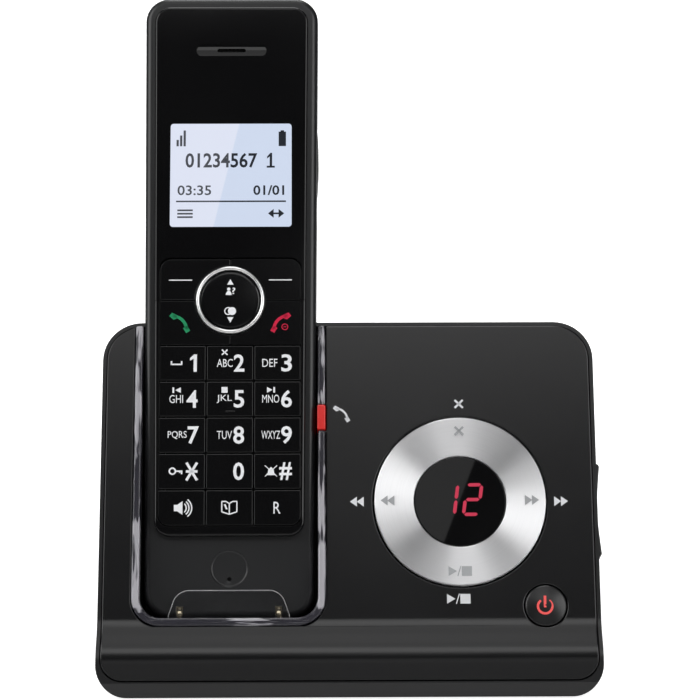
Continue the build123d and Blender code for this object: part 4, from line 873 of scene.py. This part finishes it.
cut(body, post(0, seam, -10, 5, 1.6),
    block(-lcd_half_wide - 1.1, lcd_middle - lcd_half_high - 1.15, lcd_half_wide + 1.1,
          lcd_middle + lcd_half_high + 1.15, -10, 5),
    centred(0, earpiece, 4.6, 1.0, -10, 5, 0.95),
    turned(0, 13.5, [(reach, height - face_step) for reach, height in dimple_outline], 64, False),
    post(0, 10.6, -10, 5, 0.6, 24))
handset_black = plastic("handset_black_satin", (0.0085, 0.0088, 0.0096), (0.0105, 0.0108, 0.0116), 0.34,
                        0.02, 0.05, 0.25)
dress("handset_front_housing_shell", soften(on_handset(body), 0.28, 2, 30), handset_black, "handset",
      "handset_shell", "handset_front_housing")

cut(rear, rear_room)
combine(rear, block(-12.6, cell_low - 2.2, 12.6, cell_high + 2.2, door_inner + 1.5, -13.35), "UNION")
cut(rear, block(-11.2, cell_low - 0.8, 11.2, cell_high + 0.8, -60, -14.75),
    block(-door_side - 0.2, door_low - 12.2, door_side + 0.2, door_high + 0.2, -60, door_inner + 0.2, 2))
for i in range(-2, 3):
    cut(rear, centred(0, 102 + 3.0 * i, 6 - abs(i), 0.6, -30, -20, 0.55, 4))
for side in (-screw_side, screw_side):
    combine(rear, post(side, screw_up, -19.5, parting, 3.0, 40), "UNION")
    cut(rear, post(side, screw_up, -60, parting + 1, 1.3, 32), post(side, screw_up, -60, -17.0, 2.3, 40))
dress("handset_back_housing_shell", soften(on_handset(rear), 0.28, 2, 30), handset_black, "handset",
      "handset_shell", "handset_back_housing")

# ---- raised face: front lens and keypad bezel ----
# The glossy black face that stands on the front half. A lens of black acrylic carries the display
# and the earpiece, and a U-shaped bezel below it frames the keys; both snap in with a fine seam.

face_low_half, face_high_half, chin, face_top = 20.85, 22.1, 22.3, 176.6
key_gap, seam_gap = 0.175, 0.2
pad_side = field_side + key_gap


def face_plate(low_y, high_y):
    """The raised face between two heights, its outer rim bevelled."""
    corners = [(-face_low_half, chin), (face_low_half, chin), (face_high_half, face_top),
               (-face_high_half, face_top)]
    plate = drawn(rounded(corners, 4.5, 12), -face_step, 0)
    round_rim(plate, 1, 0.7, 3)
    cut_off(plate, (0, low_y, 0), (0, -1, 0))
    cut_off(plate, (0, high_y, 0), (0, 1, 0))
    return plate


scoop = post(-7.45, earpiece + 1.2, -12, 12, 8.0, 160)
scoop.rotation_euler = (0, pi / 2, 0)
combine(settle(scoop), centred(0, earpiece, 10.05, 1.9, -2, 3, 1.75, 8), "INTERSECT")
lens = cut(face_plate(seam + seam_gap / 2, 200),
           block(-pad_side, seam - 20, pad_side, pad_top + key_gap, -10, 10, 3.3, 10, (1,)),
           centred(0, lcd_middle, lcd_half_wide + 0.02, lcd_half_high + 0.02, -10, 10, 0.9, 5),
           scoop, centred(0, earpiece, 4.1, 0.55, -10, 10, 0.53, 6))
gloss_black = plastic("face_black_gloss", (0.0026, 0.0026, 0.0029), (0.0034, 0.0034, 0.0037), 0.07,
                      0.01, 0.01, 0.2, 0.35)
dress("front_lens_plate", soften(on_handset(lens), 0.16, 2, 40), gloss_black, "handset", "lens_black",
      "front_lens")
bezel = cut(face_plate(0, seam - seam_gap / 2),
            block(-pad_side, field_bottom - key_gap, pad_side, seam + 20, -10, 10, 3.3, 10, (-1,)))
dress("keypad_bezel_frame", soften(on_handset(bezel), 0.16, 2, 40), gloss_black, "handset", "lens_black",
      "keypad_bezel")

# ---- earpiece, microphone and what lies under the face ----
# A perforated plate of black plastic lies behind the earpiece slot. The receiver, the microphone,
# the dome mat, the circuit board and the ringer are clamped between the two halves.

finish_nodes(socket_black, "earpiece_grille", "microphone", "display_module")
finish_nodes(steel, "earpiece_receiver")
finish_nodes(silicone, "dome_mat")
finish_nodes(board_green, "handset_circuit_board")
finish_nodes(paper_cone, "ringer_speaker")
finish_nodes(gold, "handset_charge_contacts")

# ---- display ----
# A liquid crystal behind a clear window, lit pale blue from its edge, with a painted glare that
# makes it paler left of a leaning line. It shows the signal, the battery, a number, the time and the
# date in near-black segments, painted greyer on the glare's side.


def outside_painted_glare(tree, place):
    """The painted glare's mask: nothing to the left of a leaning line across the display, and one to its
    right.
    """
    axes = add(tree, "SeparateXYZ", place)
    lean = add(tree, "Math", axes.outputs["Z"], split_slope, axes.outputs["X"], operation="MULTIPLY_ADD")
    return add(tree, "MapRange", lean, split_from, split_to)


glass = centred(0, lcd_middle, lcd_half_wide, lcd_half_high, -1.2, -0.04, 0.88, 5)
lit_blue, tree, shader, place = new_material("display_lit_blue")
# Painted glare: colour and glow are paler left of the leaning line, over a fine random mottle.
grains = add(tree, "TexNoise", place, Scale=150.0, Detail=2.0)
mottle_and_painted_glare = add(tree, "Math", grains, 0.1, outside_painted_glare(tree, place), operation="MULTIPLY_ADD")
tone = tones(tree, mottle_and_painted_glare, (0.75, 0.79, 0.92), (0.63, 0.71, 0.87))
dimmed = add(tree, "MixRGB", 1.0, tone, (0.2, 0.2, 0.2, 1), blend_type="MULTIPLY")
fill(shader, Base_Color=dimmed, Emission_Color=tone, Emission_Strength=0.8, Roughness=0.2)
dress("display_glass", soften(on_handset(glass), 0.08, 2), lit_blue, "handset", "display_glass",
      "display_window")


def lettering(words, left, right, low_y, high_y, at, bold=0.0):
    """Characters fitted exactly between four sides, as a thin raised mesh."""
    bpy.ops.object.text_add(location=(0, 0, 0))
    piece = bpy.context.object
    piece.data.body, piece.data.offset = words, bold
    piece.data.resolution_u, piece.data.extrude = 3, 0.05
    bpy.ops.object.convert(target="MESH")
    piece = bpy.context.object
    opened(piece)
    closed_solid(piece, 0.0005)
    x, y, low, high = at
    axes = [[vertex.co[i] for vertex in piece.data.vertices] for i in range(3)]
    fits = list(zip(((x + left, x + right), (y + low_y, y + high_y), (low, high)),
                    [(min(axis), max(axis)) for axis in axes]))
    piece.scale = [(b - a) / (hi - lo) for (a, b), (lo, hi) in fits]
    piece.location = [a - lo * (b - a) / (hi - lo) for (a, b), (lo, hi) in fits]
    return settle(piece)


lcd = (0, 0, -0.05, -0.03)
lcd_ink = on_handset(joined(
    [plate(-15.6 + i, 134.6, -14.95 + i, 134.6 + high, lcd) for i, high in enumerate((1.9, 3.2, 4.7))]
    + [plate(13.6, 134.6, 15.7, 138.9, lcd), plate(14.15, 138.7, 15.15, 139.3, lcd),
       lettering("01234567", -13.0, 7.5, 128.2, 132.6, lcd, 0.02),
       patch([(10.2, 128.2), (12.5, 128.2), (12.5, 128.75), (11.75, 128.75), (11.75, 132.6), (11.25, 132.6),
              (10.3, 131.5), (10.3, 130.9), (11.05, 131.5), (11.05, 128.75), (10.2, 128.75)], lcd),
       lettering("03:35", -15.2, -5.6, 120.1, 123.0, lcd, 0.012),
       lettering("01/01", 6.4, 15.2, 120.1, 123.0, lcd, 0.02),
       plate(-15.6, 118.05, 15.7, 118.5, lcd)]
    + [plate(-15.2, 113.4 + i, -10.8, 113.9 + i, lcd) for i in range(3)]
    + [patch([(10.6, 114.7), (12.2, 113.4), (12.2, 116.0)], lcd),
       patch([(15.2, 114.7), (13.6, 116.0), (13.6, 113.4)], lcd), plate(12.0, 114.45, 13.8, 114.95, lcd)]))
ink, tree, shader, place = new_material("display_ink")
# Painted glare: the segments left of the leaning line are a paler grey than those right of it.
fill(shader, Base_Color=tones(tree, outside_painted_glare(tree, place), (0.07, 0.075, 0.09), (0.012, 0.016, 0.024)),
     Roughness=0.5, Specular_IOR_Level=0.2)
dress("display_segments", lcd_ink, ink, "handset", "display_module")

# ---- navigation ring and key ----
# A turned brass ring, bevelled and bright chrome plated, stands proud on an island of the
# housing. The glossy black key inside rocks up and down on a short post.

ring_wide, ring_proud = 1.15, 0.7
ring_inside = ring_radius - ring_wide
ring = turned(0, seam, [
    (ring_radius, -face_step), (ring_radius, 0.3), (ring_radius - 0.35, ring_proud),
    (ring_radius - 0.8, ring_proud), (ring_inside, 0.3), (ring_inside, -face_step)], 160)
chrome = noisy("ring_chrome", (0.84, 0.84, 0.83), (0.93, 0.93, 0.92), 1500.0, 3.0, (0.24, 0.36),
               Metallic=1.0)
dress("nav_ring_turned", soften(on_handset(ring), 0.2, 3, 25), chrome, "handset", "chrome", "nav_ring")

disc_radius = ring_inside - 0.3
disc = turned(0, seam, [
    (0.002, -2.8), (1.2, -2.8), (1.2, -1.3), (disc_radius, -1.3), (disc_radius, -0.25),
    (disc_radius - 0.12, -0.05), (disc_radius - 0.45, 0.08), (disc_radius - 0.8, 0.1), (0.002, 0.1)],
    128, False)
for side in (-1, 1):
    stem = centred(0, seam + side * nav_stem_off, stem_half, stem_half, stem_end, -0.8)
    combine(disc, stem, "UNION")
key_gloss = plastic("key_black_gloss", (0.0026, 0.0026, 0.0029), (0.0034, 0.0034, 0.0037), 0.13,
                    0.015, 0.015, 0.2, 0.4)
dress("nav_key_disc", smooth(on_handset(disc), 30), key_gloss, "nav_key", "key_black", "nav_key")

nav = (0, seam, 0.08, 0.13)
nav_marks = on_handset(joined([
    patch([(-0.9, 4.45), (0.9, 4.45), (0, 6.05)], nav), patch([(0, -6.55), (0.9, -4.95), (-0.9, -4.95)], nav),
    post(-0.45, seam + 3.15, *nav[2:], 0.48, 24),
    patch([(-1.3, 1.45), (0.4, 1.45), (0.32, 2.0), (-0.1, 2.6), (-0.8, 2.6), (-1.22, 2.0)], nav),
    lettering("?", 0.5, 1.45, 1.75, 3.6, nav, 0.01),
    arc(0.85, 1.15, 60, 300, (-0.55, seam - 3.2, *nav[2:]), 24), post(0.5, seam - 3.2, *nav[2:], 1.15, 32),
]))
legend_white = lit("legend_white", (0.82, 0.83, 0.85), 0.14)
dress("nav_marks", nav_marks, legend_white, "nav_key", "key_black")

# ---- keys ----
# Nineteen black keys with a glossy top and a softened edge, each on a square stem that presses a
# dome through the housing. Digits, letters and marks are laser cut in the paint and show white.

key_step_x, key_step_y, key_apart = 13.35, 10.27, 0.35
key_half_x, key_half_y = (key_step_x - key_apart) / 2, (key_step_y - key_apart) / 2
key_first_y, key_top, key_low, key_corner, field_corner = 71.315, -0.35, -1.6, 0.3, 2.95
key_names = ["key_1", "key_2", "key_3", "key_4", "key_5", "key_6", "key_7", "key_8", "key_9",
             "key_star", "key_0", "key_hash", "key_speaker", "key_phonebook", "key_recall"]
key_places = {name: ((i % 3 - 1) * key_step_x, key_first_y - i // 3 * key_step_y)
              for i, name in enumerate(key_names)}


def with_stem(cap, x, y):
    return combine(cap, centred(x, y, stem_half, stem_half, stem_end, key_low + 0.6), "UNION")


def finish_key(node, cap):
    """Places a key, softens its edges and gives it its body."""
    dress(node + "_cap", soften(on_handset(cap), 0.26, 3, 35), key_gloss, node, "key_black", node)


def side_key(node, side, low_y, high_y, corner):
    """A key beside the ring: a rectangle with the ring's circle cut away."""
    x0, x1, y0, y1 = 0.07, field_side - key_gap, low_y + key_gap, high_y - key_gap
    radii = [key_corner, key_corner, corner, key_corner]
    outline = rounded([(x0, y0), (x1, y0), (x1, y1), (x0, y1)], radii, 10)
    cap = drawn(mirrored(outline, side), key_low, key_top)
    cut(cap, post(0, seam, -10, 10, ring_radius + 0.3, 128))
    finish_key(node, with_stem(cap, side * 15.025, (low_y + high_y) / 2))


corners = [(x * key_half_x, y * key_half_y) for x, y in ((-1, -1), (1, -1), (1, 1), (-1, 1))]
plain_key = block(*corners[0], *corners[2], key_low, key_top, key_corner, 3)
patterns = {name: with_stem(drawn(rounded(corners, radii), key_low, key_top), 0, 0)
            for name, radii in (("key_speaker", [field_corner] + [key_corner] * 3),
                                ("key_recall", [key_corner, field_corner] + [key_corner] * 2))}
patterns[""] = with_stem(plain_key, 0, 0)
for name, place in key_places.items():
    finish_key(name, copy_of(patterns.get(name, patterns[""]), *place))
for pattern in patterns.values():
    bpy.data.objects.remove(pattern)
for side, call_node, soft_node in ((-1, "talk_key", "soft_key_left"), (1, "off_key", "soft_key_right")):
    side_key(call_node, side, 76.45, seam, key_corner)
    side_key(soft_node, side, seam, pad_top, 3.125)

mark_span = (key_top - 0.02, key_top + 0.03)
digit_reach, small_low, small_high = 2.5, -1.13, 1.17
arrow_low, arrow_mid, arrow_high = 1.75, 2.55, 3.35


def legend(node, pieces, material=legend_white):
    """Joins a key's marks, places them and lets them ride with the key."""
    dress(node + "_legend", on_handset(joined(pieces)), material, node, "key_black")


def hoop(x, y, inner, outer, at):
    """A closed flat ring."""
    start_x, start_y, low, high = at
    outline = [(outer, low), (outer, high), (inner, high), (inner, low)]
    return turned(start_x + x, start_y + y, outline, 40)


def one_mark(left, right, wide, at):
    """The figure one: an upright bar with a flag."""
    stem = right - wide
    return patch([(stem, -digit_reach), (right, -digit_reach), (right, digit_reach),
                  (stem + 0.12 * wide, digit_reach), (left, digit_reach - 1.15 * wide),
                  (left, digit_reach - 1.95 * wide), (stem, digit_reach - 1.3 * wide)], at)


legends = {
    "key_1": (), "key_2": (1.05, 4.04, "ABC", -3.7, 0.75), "key_3": (1.05, 4.04, "DEF", -4.28, -0.03),
    "key_4": (1.2, 4.3, "GHI", -3.6, 0.25), "key_5": (1.1, 4.04, "JKL", -3.7, 0.55),
    "key_6": (1.0, 4.04, "MNO", -4.27, 0.5), "key_7": (1.6, 4.75, "PQRS", -3.95, 1.35),
    "key_8": (1.0, 4.04, "TUV", -3.6, 0.65), "key_9": (1.0, 4.04, "WXYZ", -4.5, 0.74),
    "key_0": (1.0, 4.04), "key_hash": (0.5, 4.04),
}
signs = {
    "key_1": lambda at: [one_mark(2.1, 4.04, 0.92, at),
                         strokes([(-3.1, 0.6, -3.1, -0.55), (-3.32, -0.35, -0.02, -0.35),
                                  (-0.24, 0.6, -0.24, -0.55)], 0.42, at)],
    "key_2": lambda at: [strokes([(-2.3, 2.35, -0.75, 3.85), (-2.3, 3.85, -0.75, 2.35)], 0.4, at)],
    "key_4": lambda at: [patch([(-0.4, arrow_low), (-0.4, arrow_high), (-2.0, arrow_mid)], at),
                         plate(-2.75, arrow_low, -2.25, arrow_high, at)],
    "key_5": lambda at: [plate(-2.35, arrow_low, -0.65, 3.4, at)],
    "key_6": lambda at: [patch([(-2.95, arrow_low), (-1.35, arrow_mid), (-2.95, arrow_high)], at),
                         plate(-1.2, arrow_low, -0.7, arrow_high, at)],
    "key_hash": lambda at: [
        patch([(-3.3, -1.1), (-0.3, -1.1), (-0.9, -0.5), (-1.05, 0.5), (-1.8, 1.2), (-2.55, 0.5),
               (-2.7, -0.5)], at),
        strokes([(-3.5, -1.5, -0.1, 1.6), (-3.5, 1.6, -0.1, -1.5)], 0.22, (*at[:3], at[3] + 0.01))],
    "key_star": lambda at: [
        strokes([(1.35, -2.5, 4.3, 2.5), (1.35, 2.5, 4.3, -2.5), (1.2, 0, 4.44, 0)], 0.72, at),
        hoop(-2.55, 0.1, 0.62, 1.06, at),
        strokes([(-1.5, 0.1, 0.25, 0.1), (0.02, 0.1, 0.02, -0.75), (-0.5, 0.1, -0.5, -0.4)], 0.42, at)],
    "key_speaker": lambda at: [
        patch([(-2.05, -0.9), (-1.1, -0.9), (0.35, -1.9), (0.35, 1.9), (-1.1, 0.9), (-2.05, 0.9)], at)] + [
        arc(r - 0.17, r + 0.17, -52, 52, (at[0] - 0.1, *at[1:]), 16) for r in (1.5, 2.25, 3.0)],
    "key_phonebook": lambda at: [
        strokes([(0, -1.8, -2.1, -1.1), (-2.1, -1.1, -2.1, 1.8), (-2.1, 1.8, -0.9, 1.8), (-0.9, 1.8, 0, 1.2),
                 (0, 1.2, 0.9, 1.8), (0.9, 1.8, 2.1, 1.8), (2.1, 1.8, 2.1, -1.1), (2.1, -1.1, 0, -1.8),
                 (0, 1.2, 0, -1.7)], 0.34, at),
        strokes([(-1.3, 1.0, -0.7, -0.4)], 0.5, at)],
    "key_recall": lambda at: [lettering("R", -1.1, 0.85, -1.65, 1.65, at)],
}
for name, place in key_places.items():
    at, pieces = (*place, *mark_span), []
    if legends.get(name):
        main = {"key_hash": "#"}.get(name, name[-1])
        left, right, *small = legends[name]
        pieces.append(lettering(main, left, right, -digit_reach, digit_reach, at, 0.018))
        if small:
            pieces.append(lettering(*small, small_low, small_high, at))
    legend(name, pieces + (signs[name](at) if name in signs else []))
talk_green = plastic("talk_green", (0.008, 0.24, 0.09), (0.014, 0.3, 0.12), 0.5, gloss=0.3)
off_red = plastic("off_red", (0.56, 0.008, 0.045), (0.68, 0.012, 0.06), 0.5, gloss=0.3)
legend("talk_key", [receiver_mark(1, (-14.3, 82.9, *mark_span))], talk_green)
round_sign = (15.4, 81.7, *mark_span)
legend("off_key", [receiver_mark(-1, (14.3, 82.9, *mark_span)), hoop(0, 0, 0.7, 0.95, round_sign),
                   strokes([(-0.4, 0, 0.4, 0)], 0.2, round_sign)], off_red)
for side, node in ((-1, "soft_key_left"), (1, "soft_key_right")):
    legend(node, [block(side * 10.8, 95.15, side * 17.4, 95.45, *mark_span, 0.14, 4)])
x, y = key_places["key_5"]
nub = block(x - 1.4, y - 3.85, x + 1.4, y - 3.35, key_top - 0.1, key_top + 0.22, 0.24, 6)
dress("key_5_nub", soften(on_handset(nub), 0.1, 2), key_gloss, "key_5", "key_black")

# ---- battery door, cells and belt clip ----
# The sliding door of the battery tray with five grip grooves, the two sleeved cells, and the
# sprung belt clip, which grips two notches in the handset's sides.

door = block(-door_side, door_low, door_side, door_high, handset_back, door_inner, 1.8, 8)
for i in range(5):
    cut(door, centred(0, door_high - 8 - 2.2 * i, 8, 0.45, handset_back - 1, handset_back + 0.4, 0.4, 4))
dress("battery_door_plate", soften(on_handset(door), 0.2, 2, 30), handset_black, "battery_door",
      "handset_shell", "battery_door")
cell_wrap = noisy("cell_wrap_green", (0.05, 0.28, 0.09), (0.08, 0.36, 0.13), 300.0, 3.0, 0.35,
                  relief=(0.1, 0.00005))
finish_nodes(cell_wrap, "battery_cells")

clip_in, clip_wall, clip_back = clip_half - notch_deep + 0.3, 1.2, handset_back - 0.3
clip_middle, clip_reach, arm_gap, arm_bow = 134.5, 12.5, 0.35, 0.85
clip = block(-clip_in - clip_wall, clip_back - clip_wall, clip_in + clip_wall, 0, -clip_high, -clip_low,
             3.5, 8, (-1,))
cut(clip, block(-clip_in, clip_back, clip_in, 5, -clip_high - 5, -clip_low + 5, 2.5, 8, (-1,)))
cut_off(clip, (0, 1.2 + parting, 0), (0, 1, 0))
settle(clip, Matrix(((1, 0, 0, 0), (0, 0, -1, 0), (0, 1, 0, 0), (0, 0, 0, 1))))
arms = []
for way in (1, -1):
    side = way * (clip_in + arm_gap)
    first, last = (clip_low - 2, clip_high + 2)[::way]
    steps = [way * i / 8 for i in range(-8, 9)]
    arms += [(side, first)] + [(side + way * arm_bow * (1 - step * step), clip_middle + clip_reach * step)
                               for step in steps] + [(side, last)]
combine(clip, drawn(arms, -60, 60), "INTERSECT")
tongue_back = clip_back - 2 * clip_wall - 5.0
inside, tip, hook = tongue_back + clip_wall + 0.2, clip_low - 26.0, clip_high - 2
tongue = drawn([(clip_high, clip_back - 0.4), (hook, clip_back - 0.4), (hook, inside), (tip + 3.5, inside),
                (tip, tongue_back + 3.4), (tip, tongue_back + 2.2), (tip + 2, tongue_back),
                (clip_high, tongue_back)], -11, 11)
combine(clip, settle(tongue, as_side_view), "UNION")
clip_black = plastic("clip_black", (0.008, 0.008, 0.0085), (0.011, 0.011, 0.0115), 0.45, 0.03, 0.08, 0.3)
dress("belt_clip_spring", soften(on_handset(clip), 0.4, 3, 30), clip_black, "handset", "handset_shell",
      "belt_clip")

# ---- handset screws ----
# Two cross-headed steel screws at the bottom of deep holes in the back, below the earpiece.

rear_screws = [crosshead(side, screw_up, -18.2, -17.0, 2.1, 1.15, parting)
               for side in (-screw_side, screw_side)]
dress("handset_crossheads", smooth(on_handset(joined(rear_screws)), 35), steel, "handset", "steel",
      "handset_screws")

# ---- camera, floor and light ----
# The camera looks down a little on the front, from straight ahead. A pale floor takes the shadow,
# and large soft lamps above, in front, behind and at the sides light the object.

camera_down, camera_turn = 17.5, -0.556
bpy.ops.object.camera_add(location=(-0.00618, lip_y * MM - 0.6404, 0.3018),
                          rotation=(radians(90 - camera_down), 0, radians(camera_turn)))
camera = bpy.context.object
camera.data.sensor_width, camera.data.lens = 36, 132.6
bpy.context.scene.camera = camera
bpy.ops.mesh.primitive_plane_add(size=8)
floor = bpy.context.object
floor.name = "floor"


def seen_straight(tree):
    """One where the camera sees a thing, also through clear plastic but not mirrored, else nothing."""
    ray = add(tree, "LightPath").outputs
    unmirrored = add(tree, "Math", 1.0, ray["Glossy Depth"], operation="SUBTRACT", use_clamp=True)
    through = add(tree, "Math", ray["Is Transmission Ray"], unmirrored, operation="MULTIPLY")
    return add(tree, "Math", ray["Is Camera Ray"], through, operation="MAXIMUM")


floor_white = noisy("floor_white", (0.86, 0.86, 0.86), (0.9, 0.9, 0.9), 3.0, 2.0, 0.7,
                    Emission_Color=(1, 1, 1, 1))
tree = floor_white.node_tree
fill(tree.nodes["Principled BSDF"],
     Emission_Strength=add(tree, "Math", seen_straight(tree), 0.85, operation="MULTIPLY"))
floor.data.materials.append(floor_white)

world = bpy.context.scene.world or bpy.data.worlds.new("studio")
bpy.context.scene.world = world
world.use_nodes = True
tree = world.node_tree
room_light = fill(tree.nodes["Background"], Color=(0.05, 0.05, 0.052, 1))
white = add(tree, "Background", (1, 1, 1, 1))
fill(tree.nodes["World Output"], Surface=add(tree, "MixShader", seen_straight(tree), room_light, white))


def soft_lamp(name, place, aim, across, along, power):
    """A rectangular soft lamp that looks at a point."""
    bpy.ops.object.light_add(type="AREA", location=place)
    lamp = bpy.context.object
    lamp.name, lamp.data.shape, lamp.data.energy = name, "RECTANGLE", power
    lamp.data.size, lamp.data.size_y = across, along
    look = Matrix.Translation(aim).translation - lamp.location
    lamp.rotation_euler = look.to_track_quat("-Z", "Y").to_euler()
    return lamp


soft_lamp("top_front_softbox", (0, -1.8, 2.95), (0, 0, 0.08), 1.55, 0.79, 7.9)
soft_lamp("top_softbox", (0, -0.5, 3.4), (0, 0, 0.08), 1.55, 2.1, 9.8)
soft_lamp("rear_top_softbox", (0, 0.6, 1.35), (0, 0, 0.08), 0.6, 0.7, 6)
soft_lamp("left_softbox", (-1.05, -0.3, 0.9), (0, 0, 0.07), 0.8, 1.2, 10)
soft_lamp("right_softbox", (1.0, -0.75, 0.82), (0, 0, 0.07), 0.8, 1.2, 9.5)
soft_lamp("front_strip", (0, -1.6, 0.65), (0, 0, 0.04), 1.0, 0.56, 0.8)
soft_lamp("rear_fill", (0, 1.7, 0.8), (0, 0, 0.05), 1.4, 0.9, 7)
glare = soft_lamp("window_glare", (0.054, -0.932, 1.048), (0.031, -0.03, 0.046), 0.1, 0.16, 0.027)
glare.rotation_euler.rotate_axis("Z", radians(-22))
bpy.context.scene.view_settings.view_transform = "Standard"
